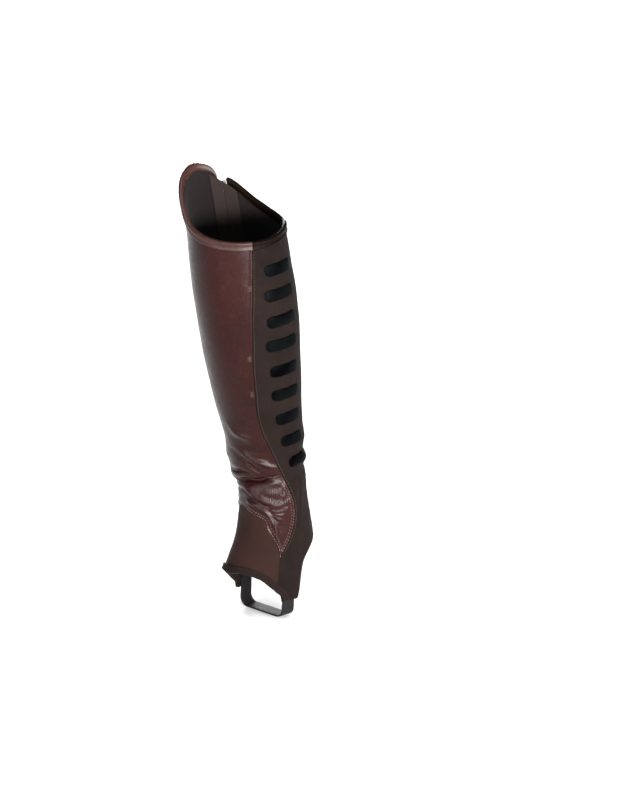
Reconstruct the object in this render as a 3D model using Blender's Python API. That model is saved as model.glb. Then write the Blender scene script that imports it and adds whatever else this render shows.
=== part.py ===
"""A riding half chap for the right leg, hollow, in the form it has when worn.

The leather outer panel runs from the zip round the shin to the medial seam, the matte inner panel
from that seam round the back to the zip, and the instep panel closes the front of the ankle.
Every wall is laid on one smooth form of the lower leg, read from a short table of sections.

Frame: +Z up, -Y the front of the leg, +X the medial side. The origin is the middle of the calf,
where the wearer's leg holds the chap up.
"""
import bisect
import math

import bmesh
import bpy
from mathutils import Matrix, Vector

# Tables and sizes are in millimetres and degrees; the solids are made in metres
MM = 0.001

# Sections of the leg form. Height is above the floor, depths are from the centre to front and back
SECTIONS = (
    # height, half width, front depth, back depth, centre y
    (20, 37.5, 84, 46, 2),
    (50, 37.5, 76, 46, 3),
    (75, 36.5, 63, 45, 4),
    (95, 35, 53, 43, 5),
    (115, 34, 45, 40, 4),
    (140, 34, 40, 38, 0.5),
    (165, 36, 40, 39, -4.5),
    (195, 39, 41, 42, -10.5),
    (230, 43, 43.5, 46, -18.5),
    (272, 48, 47, 51, -27),
    (317, 51.5, 50, 55.5, -34),
    (362, 53, 51.5, 57.5, -41),
    (407, 52.5, 51, 55, -48),
    (440, 52, 50.5, 52, -53),
    (475, 54, 51.5, 51, -58.5),
    (515, 58, 54, 51, -65),
)
HALF_WIDTH, FRONT_DEPTH, BACK_DEPTH, CENTRE_Y = 1, 2, 3, 4

# The middle of the calf, where the leg holds the chap: the model's origin
HOLD_HEIGHT = 362
HOLD_Y = -41

# Folds where the chap slouches over the ankle. Each follows a line that climbs with the angle
FOLDS = (
    # angle, height, depth out, half height, half spread, climb per degree
    (22, 165.5, -2.6, 4.6, 62, 0.12),
    (-8, 174.5, -1.7, 4.0, 34, 0.06),
    (33, 190, 1.7, 5.5, 36, -0.32),
    (25, 181.5, -1.0, 4.5, 22, -0.45),
    (-45, 187, 2.4, 15, 55, 0.0),
    (-42, 167.5, 2.0, 5.5, 40, 0.05),
    (24, 149.5, 1.1, 5.0, 28, -0.4),
    (13, 221, 1.1, 8.0, 26, -0.35),
    (-52, 153, -1.8, 6.5, 36, -0.05),
    (-62, 200, 1.4, 8.0, 34, -0.55),
    (-98, 176, -1.3, 7.0, 34, -0.25),
    (135, 207, 1.3, 7.5, 46, 0.05),
    (132, 195, -0.9, 6.0, 40, -0.1),
    (135, 183, 1.8, 7.0, 48, 0.05),
    (128, 172, -1.4, 6.5, 44, 0.1),
    (178, 163, 1.2, 8.0, 40, 0.0),
)

# The top edge, above the lowest point of the rim
RIM_LOW = 431
RIM = (
    # angle, rise
    (-180, 18),
    (-160, 28),
    (-140, 44),
    (-125, 54),
    (-110, 63),
    (-95, 66),
    (-80, 62),
    (-60, 50),
    (-40, 32),
    (-20, 16),
    (0, 7.5),
    (20, 3.5),
    (45, 1.5),
    (70, 2),
    (90, 4),
    (110, 7.5),
    (136, 11.5),
    (160, 13),
    (180, 18),
)

# The seam between leather and inner panel, from the tip of the V to the rim
SEAM = (
    # height, angle
    (81, 65),
    (90, 70.5),
    (98, 75),
    (107, 78.5),
    (120, 82.2),
    (135, 82.5),
    (151, 79),
    (168, 72),
    (181, 64.5),
    (195, 58.2),
    (209, 52.5),
    (223, 47.2),
    (239, 44.8),
    (269, 46.2),
    (306, 48),
    (323, 50),
    (350, 52.8),
    (375, 56.8),
    (399, 59.8),
    (417, 62.2),
    (435, 64.5),
)
TIP_HEIGHT = 81
TIP_ANGLE = 65

# The seam between instep panel and inner panel, from the hem to the tip of the V
INSTEP_SEAM = (
    # height, angle
    (44, 67.2),
    (62, 65.8),
    (81, 65),
)

# The hem over the instep
HEM = (
    # angle, height
    (-76, 35),
    (-70, 41),
    (-60, 50.5),
    (-45, 60),
    (-24, 66),
    (0, 67),
    (24, 67.5),
    (37, 64.5),
    (50, 59),
    (63, 48.5),
    (72, 40),
    (76, 35),
)
HEM_CORNER_ANGLE = -70

# Lower edge of the leather from the zip to the tip of the V
TONGUE_LOW = 31
LEATHER_LOW = (
    # angle, height
    (-112, 81),
    (-103, 75),
    (-96, 66),
    (-91.5, 50),
    (-88, TONGUE_LOW),
    (-81, TONGUE_LOW),
    (-74.5, TONGUE_LOW),
    (-73, 37.5),
    (-70, 41),
    (-63, 56),
    (-55, 75),
    (-46, 96),
    (-37, 114),
    (-28, 127),
    (-18, 133.5),
    (-5, 132.5),
    (8, 129),
    (18, 126),
    (28, 123.5),
    (36, 120.5),
    (41, 111.5),
    (49, 102.5),
    (57, 93),
)
LEATHER_LOW_AT_ZIP = 86

# Lower edge of the inner panel from the instep seam to the zip
INNER_LOW = (
    # angle, height
    (70.5, 41),
    (73.4, 37),
    (74.6, TONGUE_LOW),
    (81, TONGUE_LOW),
    (88, TONGUE_LOW),
    (91, 48),
    (94, 61),
    (98, 70),
    (105, 76),
    (112, 80),
    (122, 84),
    (132, 86.5),
    (142, 88.5),
    (152, 90),
    (162, 91),
    (172, 91.5),
    (182, 91.5),
    (192, 91.2),
    (202, 90.5),
    (212, 89.5),
    (221.5, 88.2),
)
INNER_LOW_AT_SEAM = 44
INNER_LOW_AT_ZIP = 86.5

# Rows of the panels: a skirt below SPLIT, then closer rows over the folds
SPLIT = 140
OUTER_SKIRT_ROWS = 6
BELOW_TIP_ROWS = 2
BODY_ZONES = (
    # height of the zone's top at the low rim, rows
    (152, 3),
    (200, 14),
    (236, 6),
    (RIM_LOW, 13),
)

# Thickness of the cloth
LEATHER = 2.0
STRETCH = 1.5
SEAM_GAP = 0.4
EDGE_GAP = 0.3
LAID_ON_GAP = 0.4

# Binding folded over an edge
BINDING_THICK = 1.0
TOP_BINDING_DEPTH = 7.5
TOP_BINDING_GAP = 0.4
HEM_BINDING_DEPTH = 6.0
HEM_BINDING_GAP = 0.55

# Silicone bars on the inner panel
BAR_HALF_HEIGHT = 6.2
BAR_THICK = 1.0
BAR_END_HALF = 1.5
BAR_RISE = 2.5
GRIP_BARS = (
    # height at the front end, front angle, rear angle
    (401, 75, 120),
    (374, 71, 117),
    (345.5, 70, 115.5),
    (319.5, 66, 114.5),
    (291, 68, 113),
    (264, 67, 113.5),
    (236, 69.5, 116),
    (210, 73.5, 116),
    (184.5, 83, 124),
)

# Shield patch below the lateral peak. Share is the way up from the bottom to the binding
PATCH_LOW = 432
PATCH_THICK = 1.2
PATCH_BELOW_RIM = TOP_BINDING_DEPTH + 0.5
PATCH = (
    # share, front angle, rear angle
    (0.0, -88, -98),
    (0.03, -81, -105),
    (0.09, -75, -109.5),
    (0.2, -69, -112),
    (0.4, -62, -114),
    (0.7, -54, -116),
    (1.0, -48, -117),
)
PATCH_COLUMNS = 9

# Zip down the back of the lateral side
ZIP_ANGLE = -125
ZIP_HALF_GAP = 4.6
TAPE_HALF_WIDTH = 14
TAPE_THICK = 0.8
TAPE_OUT = -LEATHER - 0.5
CHAIN_HALF_WIDTH = 2.8
CHAIN_TOP_OUT = -0.4
ZIP_SKIRT_ROWS = 4
TAPE_BELOW_RIM = TOP_BINDING_DEPTH + 0.6
SLIDER_BELOW_RIM = 8
ZIP_LOW = 88

# Slider, its bail and the loop pull that hangs in it
SLIDER_LENGTH = 11
SLIDER_HALF_WIDTH = 4.1
SLIDER_NARROW = 0.72
SLIDER_LOW_OUT = TAPE_OUT + EDGE_GAP
SLIDER_TOP_OUT = 0.6
BAIL_HALF_WIDTH = 1.2
BAIL_HALF_LENGTH = 3.3
BAIL_INNER_HALF = 2.1
BAIL_TOP_OUT = 5.4
BAIL_THICK = 1.1
PULL_AXIS_OUT = 2.5
PULL_LENGTH = 26
PULL_CORD_RADIUS = 1.25
PULL_TOP_HALF = 3.0
PULL_END_HALF = 3.2
PULL_END_OUT = 1.8
BOX_LENGTH = 8
BOX_HALF_WIDTH = 4.0

# Elastic strap under the foot
STRAP_TOP = 48
STRAP_LOW = 11
STRAP_CORNER = 10
STRAP_THICK = 1.8
STRAP_ANGLES = (75.5, 79.5, 83.5, 87.3)
STRAP_OUT = -LEATHER - HEM_BINDING_GAP - BINDING_THICK - LAID_ON_GAP

# Colours are sRGB values
LEATHER_COLOUR = (74, 50, 47)
INNER_COLOUR = (62, 50, 48)
INSTEP_COLOUR = (70, 49, 46)
TOP_BINDING_COLOUR = (86, 61, 58)
INNER_BINDING_COLOUR = (48, 35, 30)
HEM_BINDING_COLOUR = (50, 41, 38)
BAR_COLOUR = (14, 14, 16)
ELASTIC_COLOUR = (27, 24, 25)
TAPE_COLOUR = (34, 27, 26)
METAL_COLOUR = (40, 38, 38)


def smooth(rows, value, column=1):
    """Read a column of a table at any value of its first column, on a smooth curve."""
    keys = [row[0] for row in rows]
    value = min(max(value, keys[0]), keys[-1])
    i = min(max(bisect.bisect_right(keys, value) - 1, 0), len(rows) - 2)

    def slope(k):
        return (rows[k + 1][column] - rows[k][column]) / (keys[k + 1] - keys[k])

    def tangent(k):
        if k == 0:
            return slope(0)
        if k == len(rows) - 1:
            return slope(k - 1)
        before, after = keys[k] - keys[k - 1], keys[k + 1] - keys[k]
        return (slope(k - 1) * after + slope(k) * before) / (before + after)

    width = keys[i + 1] - keys[i]
    s = (value - keys[i]) / width
    return ((1 + 2 * s) * (1 - s) ** 2 * rows[i][column]
            + s * (1 - s) ** 2 * width * tangent(i)
            + s * s * (3 - 2 * s) * rows[i + 1][column]
            + s * s * (s - 1) * width * tangent(i + 1))


def turned(angle):
    """The same angle between -180 and 180."""
    return (angle + 180) % 360 - 180


def rim_height(angle):
    return RIM_LOW + smooth(RIM, turned(angle))


def fold_depth(angle, height):
    """How far all the folds together push the wall out here."""
    total = 0
    for middle, level, depth, half_height, half_spread, climb in FOLDS:
        aside = turned(angle - middle)
        across = (height - level - climb * aside) / half_height
        total += depth * math.exp(-across * across - (aside / half_spread) ** 2 * 1.6)
    return total


def form(angle, height):
    """A point on the outside of the chap, in millimetres above the floor."""
    turn = math.radians(angle)
    push = fold_depth(angle, height)
    side = smooth(SECTIONS, height, HALF_WIDTH) + push
    depth = smooth(SECTIONS, height, FRONT_DEPTH if math.cos(turn) > 0 else BACK_DEPTH) + push
    centre = smooth(SECTIONS, height, CENTRE_Y)
    return Vector((side * math.sin(turn), centre - depth * math.cos(turn), height))


def form_slopes(angle, height):
    """How the form runs here for each degree and for each millimetre of height."""
    step = 0.5
    along = (form(angle + step, height) - form(angle - step, height)) / (2 * step)
    up = (form(angle, height + step) - form(angle, height - step)) / (2 * step)
    return along, up


def outward(angle, height):
    along, up = form_slopes(angle, height)
    return along.cross(up).normalized()


def placed(point):
    """A point above the floor as a point of the model."""
    return (point - Vector((0, HOLD_Y, HOLD_HEIGHT))) * MM


def wall_point(angle, height, out):
    return placed(form(angle, height) + outward(angle, height) * out)


def moved_aside(spots, distance):
    """A line of (angle, height) spots moved to the left of its run by a real distance."""
    moved = []
    for i, (angle, height) in enumerate(spots):
        before, after = spots[max(i - 1, 0)], spots[min(i + 1, len(spots) - 1)]
        along, up = form_slopes(angle, height)
        run = (after[0] - before[0]) * along.length, (after[1] - before[1]) * up.length
        size = math.hypot(*run)
        moved.append((angle - run[1] / size * distance / along.length,
                      height + run[0] / size * distance / up.length))
    return moved


def angle_beside(middle, height, distance):
    """The angle at a real distance from another one, at one height."""
    along, _ = form_slopes(middle, height)
    return middle + distance / along.length


def colour(srgb):
    """Linear colour of an sRGB value."""
    return tuple((c / 255 / 12.92) if c <= 10 else ((c / 255 + 0.055) / 1.055) ** 2.4 for c in srgb)


def material(name, srgb, roughness, metallic=0.0):
    made = bpy.data.materials.get(name) or bpy.data.materials.new(name)
    made.use_nodes = True
    shader = made.node_tree.nodes["Principled BSDF"]
    shader.inputs["Base Color"].default_value = (*colour(srgb), 1)
    shader.inputs["Roughness"].default_value = roughness
    shader.inputs["Metallic"].default_value = metallic
    return made


def finished(name, mesh, finish, origin=None):
    """Put a mesh in the scene as a named object, with its origin where it turns if one is given."""
    if origin is not None:
        mesh.transform(Matrix.Translation(-origin))
    made = bpy.data.objects.new(name, mesh)
    if origin is not None:
        made.location = origin
    made.data.materials.append(finish)
    bpy.data.collections["half_chap"].objects.link(made)
    return made


def mesh_of(bm, name):
    """A mesh of one closed body, with its faces pointing out."""
    bmesh.ops.recalc_face_normals(bm, faces=bm.faces)
    if bm.calc_volume(signed=True) < 0:
        bmesh.ops.reverse_faces(bm, faces=bm.faces)
    mesh = bpy.data.meshes.new(name)
    bm.to_mesh(mesh)
    bm.free()
    return mesh


def wall(name, finish, columns, rows, spot, outer, inner):
    """A closed cloth wall: a grid laid on the form at spot(column, row), and its copy further in."""
    bm = bmesh.new()
    bmesh.ops.create_grid(bm, x_segments=columns, y_segments=rows, size=0.5)
    column_of = bm.verts.layers.int.new("column")
    row_of = bm.verts.layers.int.new("row")
    for vert in bm.verts:
        vert[column_of] = round((vert.co.x + 0.5) * columns)
        vert[row_of] = round((vert.co.y + 0.5) * rows)
    outside = list(bm.verts)
    copy = bmesh.ops.extrude_face_region(bm, geom=list(bm.faces), use_keep_orig=True)
    inside = [item for item in copy["geom"] if isinstance(item, bmesh.types.BMVert)]
    for verts, out in ((outside, outer), (inside, inner)):
        for vert in verts:
            angle, height = spot(vert[column_of], vert[row_of])
            vert.co = wall_point(angle, height, out)
    mesh = mesh_of(bm, name)
    mesh.shade_smooth()
    mesh.set_sharp_from_angle(angle=math.radians(50))
    return finished(name, mesh, finish)


def loft(name, finish, sections):
    """A closed bar through sections that have the same number of points."""
    bm = bmesh.new()
    rings = [[bm.verts.new(point) for point in section] for section in sections]
    count = len(rings[0])
    for near, far in zip(rings, rings[1:]):
        for k in range(count):
            bm.faces.new((near[k], near[(k + 1) % count], far[(k + 1) % count], far[k]))
    bm.faces.new(rings[0])
    bm.faces.new(list(reversed(rings[-1])))
    return finished(name, mesh_of(bm, name), finish)


def down_the_wall(spots, i):
    _, up = form_slopes(*spots[i])
    return -up.normalized()


def square_to_edge(spots, i):
    """The direction in the wall at right angles to a line of spots, on its left."""
    before, after = spots[max(i - 1, 0)], spots[min(i + 1, len(spots) - 1)]
    return outward(*spots[i]).cross(form(*after) - form(*before)).normalized()


def binding(name, finish, spots, into_at, depth, cloth, near):
    """A strip folded over an edge of the panels; into_at gives the way from the edge into the wall."""
    sections = []
    for i, (angle, height) in enumerate(spots):
        here = form(angle, height)
        out = outward(angle, height)
        into = into_at(spots, i)
        far = near + BINDING_THICK
        profile = (
            (far, depth), (far, -far), (-cloth - far, -far), (-cloth - far, depth),
            (-cloth - near, depth), (-cloth - near, -near), (near, -near), (near, depth),
        )
        sections.append([placed(here + out * a + into * b) for a, b in profile])
    return loft(name, finish, sections)


def body_rows():
    """Shares of the way from SPLIT to the rim, one for each row."""
    shares = [0.0]
    low = SPLIT
    for top, rows in BODY_ZONES:
        shares += [(low + (top - low) * k / rows - SPLIT) / (RIM_LOW - SPLIT) for k in range(1, rows + 1)]
        low = top
    return shares


BODY = body_rows()


def seam_angle(height):
    return smooth(INSTEP_SEAM if height < TIP_HEIGHT else SEAM, height)


def outer_stations():
    first = angle_beside(ZIP_ANGLE, LEATHER_LOW_AT_ZIP, ZIP_HALF_GAP)
    last = angle_beside(TIP_ANGLE, TIP_HEIGHT, -SEAM_GAP / 2)
    return [(first, LEATHER_LOW_AT_ZIP), *LEATHER_LOW, (last, TIP_HEIGHT)]


def inner_stations():
    first = angle_beside(seam_angle(INNER_LOW_AT_SEAM), INNER_LOW_AT_SEAM, SEAM_GAP / 2)
    last = angle_beside(ZIP_ANGLE, INNER_LOW_AT_ZIP, -ZIP_HALF_GAP) + 360
    return [(first, INNER_LOW_AT_SEAM), *INNER_LOW, (last, INNER_LOW_AT_ZIP)]


def outer_skirt():
    return [k / OUTER_SKIRT_ROWS for k in range(OUTER_SKIRT_ROWS)]


def inner_skirt():
    """Rows of the inner panel's skirt: one of them meets the tip of the V."""
    tip = (TIP_HEIGHT - INNER_LOW_AT_SEAM) / (SPLIT - INNER_LOW_AT_SEAM)
    below = [tip * k / BELOW_TIP_ROWS for k in range(BELOW_TIP_ROWS)]
    return below + [tip + (1 - tip) * share for share in outer_skirt()]


def row_height(row, skirt, low, angle):
    """The height of a panel's row over a point of its lower edge."""
    if row < len(skirt):
        return low + (SPLIT - low) * skirt[row]
    return SPLIT + (rim_height(angle) - SPLIT) * BODY[row - len(skirt)]


def panel_spot(stations, skirt, edges, column, row):
    """Angle and height of a panel's grid point: its columns lean with the panel's two side edges."""
    (first, low_first), (last, low_last) = stations[0], stations[-1]
    station, low = stations[column]
    share = (station - first) / (last - first)
    left = edges[0](row_height(row, skirt, low_first, first))
    right = edges[1](row_height(row, skirt, low_last, last))
    angle = left + (right - left) * share
    return angle, row_height(row, skirt, low, angle)


def outer_spot(column, row):
    return panel_spot(
        outer_stations(), outer_skirt(),
        (lambda h: angle_beside(ZIP_ANGLE, h, ZIP_HALF_GAP),
         lambda h: angle_beside(seam_angle(h), h, -SEAM_GAP / 2)),
        column, row)


def inner_spot(column, row):
    return panel_spot(
        inner_stations(), inner_skirt(),
        (lambda h: angle_beside(seam_angle(h), h, SEAM_GAP / 2),
         lambda h: angle_beside(ZIP_ANGLE, h, -ZIP_HALF_GAP) + 360),
        column, row)


OUTER_COLUMNS = len(LEATHER_LOW) + 1
OUTER_ROWS = OUTER_SKIRT_ROWS + len(BODY) - 1
INNER_COLUMNS = len(INNER_LOW) + 1
INNER_ROWS = BELOW_TIP_ROWS + OUTER_SKIRT_ROWS + len(BODY) - 1
INSTEP_ROWS = 5


def instep_top():
    """Upper edge of the instep panel: the leather's lower edge, moved down by the seam's gap."""
    first = [spot[0] for spot in LEATHER_LOW].index(HEM_CORNER_ANGLE)
    edge = outer_stations()[1:][first:]
    corner, climb = edge[0], edge[1]
    start = (corner[0] + (climb[0] - corner[0]) * 0.12, corner[1] + (climb[1] - corner[1]) * 0.12)
    edge = moved_aside([start, *edge[1:]], -SEAM_GAP)
    tip_height = TIP_HEIGHT - 2 * SEAM_GAP
    edge[-1] = (angle_beside(seam_angle(tip_height), tip_height, -SEAM_GAP / 2), tip_height)
    return edge


def instep_low():
    """Lower edge of the instep panel, a point below each one of its upper edge."""
    top = instep_top()
    first = HEM_CORNER_ANGLE + 0.9
    last = angle_beside(seam_angle(INNER_LOW_AT_SEAM), INNER_LOW_AT_SEAM, -SEAM_GAP / 2)
    angles = [first + (last - first) * (spot[0] - top[0][0]) / (top[-1][0] - top[0][0]) for spot in top]
    return [(angle, smooth(HEM, angle)) for angle in angles]


def instep_spot(column, row):
    (low_angle, low), (top_angle, top) = instep_low()[column], instep_top()[column]
    share = row / INSTEP_ROWS
    height = low + (top - low) * share
    if column == len(instep_top()) - 1:
        return angle_beside(seam_angle(height), height, -SEAM_GAP / 2), height
    return low_angle + (top_angle - low_angle) * share, height


def make_panels():
    leather = material("leather", LEATHER_COLOUR, 0.42)
    wall("outer_panel", leather, OUTER_COLUMNS, OUTER_ROWS, outer_spot, 0, -LEATHER)
    inner = material("grip_cloth", INNER_COLOUR, 0.85)
    wall("inner_panel", inner, INNER_COLUMNS, INNER_ROWS, inner_spot, 0, -STRETCH)
    instep = material("stretch_cloth", INSTEP_COLOUR, 0.7)
    wall("instep_panel", instep, len(instep_top()) - 1, INSTEP_ROWS, instep_spot, 0, -STRETCH)


def make_bindings():
    top = [outer_spot(column, OUTER_ROWS) for column in range(OUTER_COLUMNS + 1)]
    binding("top_binding_outer", material("binding", TOP_BINDING_COLOUR, 0.5), top, down_the_wall,
            TOP_BINDING_DEPTH, LEATHER, TOP_BINDING_GAP)
    top = [inner_spot(column, INNER_ROWS) for column in range(INNER_COLUMNS + 1)]
    binding("top_binding_inner", material("dark_binding", INNER_BINDING_COLOUR, 0.6), top, down_the_wall,
            TOP_BINDING_DEPTH, STRETCH, TOP_BINDING_GAP)
    lateral = [spot for spot in LEATHER_LOW if -75 <= spot[0] <= HEM_CORNER_ANGLE]
    medial = [inner_stations()[0], *[spot for spot in INNER_LOW if spot[0] < 75]]
    hem = [*lateral, *instep_low()[1:-1], *medial]
    binding("hem_binding", material("hem_binding", HEM_BINDING_COLOUR, 0.65), hem, square_to_edge,
            HEM_BINDING_DEPTH, LEATHER, HEM_BINDING_GAP)


def make_grip_bar(number, height, front, rear):
    """A flat bar with round ends, laid on the inner panel."""
    along, _ = form_slopes((front + rear) / 2, height)
    length = abs(rear - front) * along.length
    round_end = (0, 0.12, 0.4, 1)
    near = [share * BAR_HALF_HEIGHT for share in round_end]
    middle = [BAR_HALF_HEIGHT + (length - 2 * BAR_HALF_HEIGHT) * k / 4 for k in range(1, 4)]
    stations = near + middle + [length - x for x in reversed(near)]

    def spot(column, row):
        x = stations[column]
        inset = max(0, BAR_HALF_HEIGHT - x, x - length + BAR_HALF_HEIGHT) / BAR_HALF_HEIGHT
        half = max(BAR_HALF_HEIGHT * math.sqrt(max(0, 1 - inset * inset)), BAR_END_HALF)
        share = x / length
        level = height + BAR_RISE * share
        return front + (rear - front) * share, level + half * (row - 1)

    silicone = material("silicone", BAR_COLOUR, 0.35)
    wall(f"grip_bar_{number}", silicone, len(stations) - 1, 2, spot, LAID_ON_GAP + BAR_THICK, LAID_ON_GAP)


def make_patch():
    rows = 8

    def spot(column, row):
        share = (row / rows) ** 1.6
        front, rear = smooth(PATCH, share, 1), smooth(PATCH, share, 2)
        angle = front + (rear - front) * column / PATCH_COLUMNS
        return angle, PATCH_LOW + (rim_height(angle) - PATCH_BELOW_RIM - PATCH_LOW) * share

    wall("top_patch", material("leather", LEATHER_COLOUR, 0.42), PATCH_COLUMNS, rows, spot,
         LAID_ON_GAP + PATCH_THICK, LAID_ON_GAP)


def zip_strip(name, finish, across, low, top_at, outer, inner):
    """A strip along the zip, with the panels' rows; across lists real distances from its middle line."""
    def spot(column, row):
        top = top_at(angle_beside(ZIP_ANGLE, rim_height(ZIP_ANGLE), across[column]))
        if row < ZIP_SKIRT_ROWS:
            height = low + (SPLIT - low) * row / ZIP_SKIRT_ROWS
        else:
            height = SPLIT + (top - SPLIT) * BODY[row - ZIP_SKIRT_ROWS]
        return angle_beside(ZIP_ANGLE, height, across[column]), height

    wall(name, finish, len(across) - 1, ZIP_SKIRT_ROWS + len(BODY) - 1, spot, outer, inner)


def make_zip_box(metal):
    def spot(column, row):
        height = ZIP_LOW + BOX_LENGTH * row
        return angle_beside(ZIP_ANGLE, height, BOX_HALF_WIDTH * (column - 1)), height

    wall("zip_box", metal, 2, 1, spot, SLIDER_TOP_OUT, TAPE_OUT + EDGE_GAP)


def make_zip():
    tape = material("zip_tape", TAPE_COLOUR, 0.85)
    for side, sign in (("front", 1), ("back", -1)):
        across = [sign * x for x in (0.2, ZIP_HALF_GAP, TAPE_HALF_WIDTH)]
        zip_strip(f"zip_tape_{side}", tape, across, ZIP_LOW,
                  lambda angle: rim_height(angle) - TAPE_BELOW_RIM, TAPE_OUT, TAPE_OUT - TAPE_THICK)
    chain_top = slider_height() - SLIDER_LENGTH / 2 - 2 * EDGE_GAP
    zip_strip("zip_chain", material("zip_chain", TAPE_COLOUR, 0.4),
              (-CHAIN_HALF_WIDTH, 0, CHAIN_HALF_WIDTH), ZIP_LOW + BOX_LENGTH + EDGE_GAP,
              lambda angle: chain_top, CHAIN_TOP_OUT, TAPE_OUT + EDGE_GAP)
    metal = material("dark_metal", METAL_COLOUR, 0.35, 1.0)
    make_zip_box(metal)
    make_slider(metal)
    make_pull(material("pull_cord", BAR_COLOUR, 0.5))


def slider_height():
    return rim_height(ZIP_ANGLE) - SLIDER_BELOW_RIM - SLIDER_LENGTH / 2


def slider_frame():
    """The slider's middle on the form, and its directions across, up the zip and out."""
    height = slider_height()
    along, up = form_slopes(ZIP_ANGLE, height)
    out = along.cross(up).normalized()
    up = (up - out * up.dot(out)).normalized()
    return form(ZIP_ANGLE, height), up.cross(out), up, out


def at_slider(across, up_zip, out):
    middle, side, up, outside = slider_frame()
    return placed(middle + side * across + up * up_zip + outside * out)


def make_slider(metal):
    """The slider's body, wide at the top, with a bail over it that the pull hangs in."""
    half = SLIDER_LENGTH / 2
    narrow = SLIDER_HALF_WIDTH * SLIDER_NARROW
    outline = ((-narrow, -half), (narrow, -half), (SLIDER_HALF_WIDTH, half * 0.3),
               (SLIDER_HALF_WIDTH, half), (-SLIDER_HALF_WIDTH, half), (-SLIDER_HALF_WIDTH, half * 0.3))
    body = loft("zip_slider", metal, [[at_slider(x, y, out) for x, y in outline]
                                      for out in (SLIDER_LOW_OUT, SLIDER_TOP_OUT)])
    foot = SLIDER_TOP_OUT - 0.4
    arch_inner = BAIL_TOP_OUT - BAIL_THICK
    profile = ((-BAIL_HALF_LENGTH, foot), (-BAIL_HALF_LENGTH, arch_inner), (-BAIL_INNER_HALF, BAIL_TOP_OUT),
               (BAIL_INNER_HALF, BAIL_TOP_OUT), (BAIL_HALF_LENGTH, arch_inner), (BAIL_HALF_LENGTH, foot),
               (BAIL_INNER_HALF, foot), (BAIL_INNER_HALF, arch_inner - 0.4),
               (BAIL_INNER_HALF - 0.5, arch_inner), (-BAIL_INNER_HALF + 0.5, arch_inner),
               (-BAIL_INNER_HALF, arch_inner - 0.4), (-BAIL_INNER_HALF, foot))
    bail = loft("zip_bail", metal, [[at_slider(x, y, out) for y, out in profile]
                                    for x in (-BAIL_HALF_WIDTH, BAIL_HALF_WIDTH)])
    bail.hide_render = True
    bail.display_type = "WIRE"
    join = body.modifiers.new("bail", "BOOLEAN")
    join.operation = "UNION"
    join.object = bail


def make_pull(cord):
    """A loop of cord through the bail; its origin is on the line it turns about."""
    shift = PULL_AXIS_OUT - PULL_END_OUT
    straight = PULL_LENGTH - PULL_CORD_RADIUS * 2
    outline = [(-PULL_TOP_HALF + 1.1, 0), (PULL_TOP_HALF - 1.1, 0), (PULL_TOP_HALF, -1.1)]
    outline += [(PULL_TOP_HALF, -straight * 0.4), (PULL_END_HALF, -straight + PULL_END_HALF)]
    for k in range(1, 6):
        turn = math.pi * k / 6
        outline.append((PULL_END_HALF * math.cos(turn), -straight + PULL_END_HALF * (1 - math.sin(turn))))
    outline += [(-PULL_END_HALF, -straight + PULL_END_HALF), (-PULL_TOP_HALF, -straight * 0.4),
                (-PULL_TOP_HALF, -1.1)]
    curve = bpy.data.curves.new("zip_pull", "CURVE")
    curve.dimensions = "3D"
    curve.bevel_depth = PULL_CORD_RADIUS * MM
    curve.bevel_resolution = 2
    spline = curve.splines.new("POLY")
    spline.points.add(len(outline) - 1)
    spline.use_cyclic_u = True
    hinge = at_slider(0, 0, PULL_AXIS_OUT)
    for point, (x, y) in zip(spline.points, outline):
        spot = at_slider(x, y, PULL_AXIS_OUT + shift * y / straight)
        point.co = (*(spot - hinge), 1)
    made = bpy.data.objects.new("zip_pull", curve)
    made.location = hinge
    curve.materials.append(cord)
    bpy.data.collections["half_chap"].objects.link(made)


def strap_line(angle, out, sign):
    """One side of the strap's line at one angle, from the panel down to the middle of the sole."""
    line = []
    for height in (STRAP_TOP, 42, 36, TONGUE_LOW, STRAP_LOW + STRAP_CORNER):
        line.append(form(sign * angle, height) + outward(sign * angle, height) * out)
    side = line[-1]
    radius = STRAP_CORNER + out - STRAP_OUT
    for k in range(1, 5):
        turn = math.pi / 2 * k / 4
        line.append(Vector((side.x - sign * radius * (1 - math.cos(turn)), side.y,
                            side.z - radius * math.sin(turn))))
    line.append(Vector((0, side.y, line[-1].z)))
    return line


def make_strap():
    """The elastic strap: sewn inside both tongues and passing under the foot."""
    lines = {}
    for side, out in (("outer", STRAP_OUT), ("inner", STRAP_OUT - STRAP_THICK)):
        for angle in STRAP_ANGLES:
            lateral = strap_line(angle, out, -1)
            lines[side, angle] = strap_line(angle, out, 1) + lateral[-2::-1]
    sections = []
    for k in range(len(lines["outer", STRAP_ANGLES[0]])):
        ring = [lines["outer", angle][k] for angle in STRAP_ANGLES]
        ring += [lines["inner", angle][k] for angle in reversed(STRAP_ANGLES)]
        sections.append([placed(point) for point in ring])
    loft("underfoot_strap", material("elastic", ELASTIC_COLOUR, 0.8), sections)


def main():
    for old in list(bpy.data.objects):
        bpy.data.objects.remove(old)
    bpy.context.scene.collection.children.link(bpy.data.collections.new("half_chap"))
    make_panels()
    make_bindings()
    for number, row in enumerate(GRIP_BARS, 1):
        make_grip_bar(number, *row)
    make_patch()
    make_zip()
    make_strap()


main()
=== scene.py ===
import math

import bmesh
import bpy
import numpy as np
from mathutils import Matrix, Vector, noise


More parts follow.
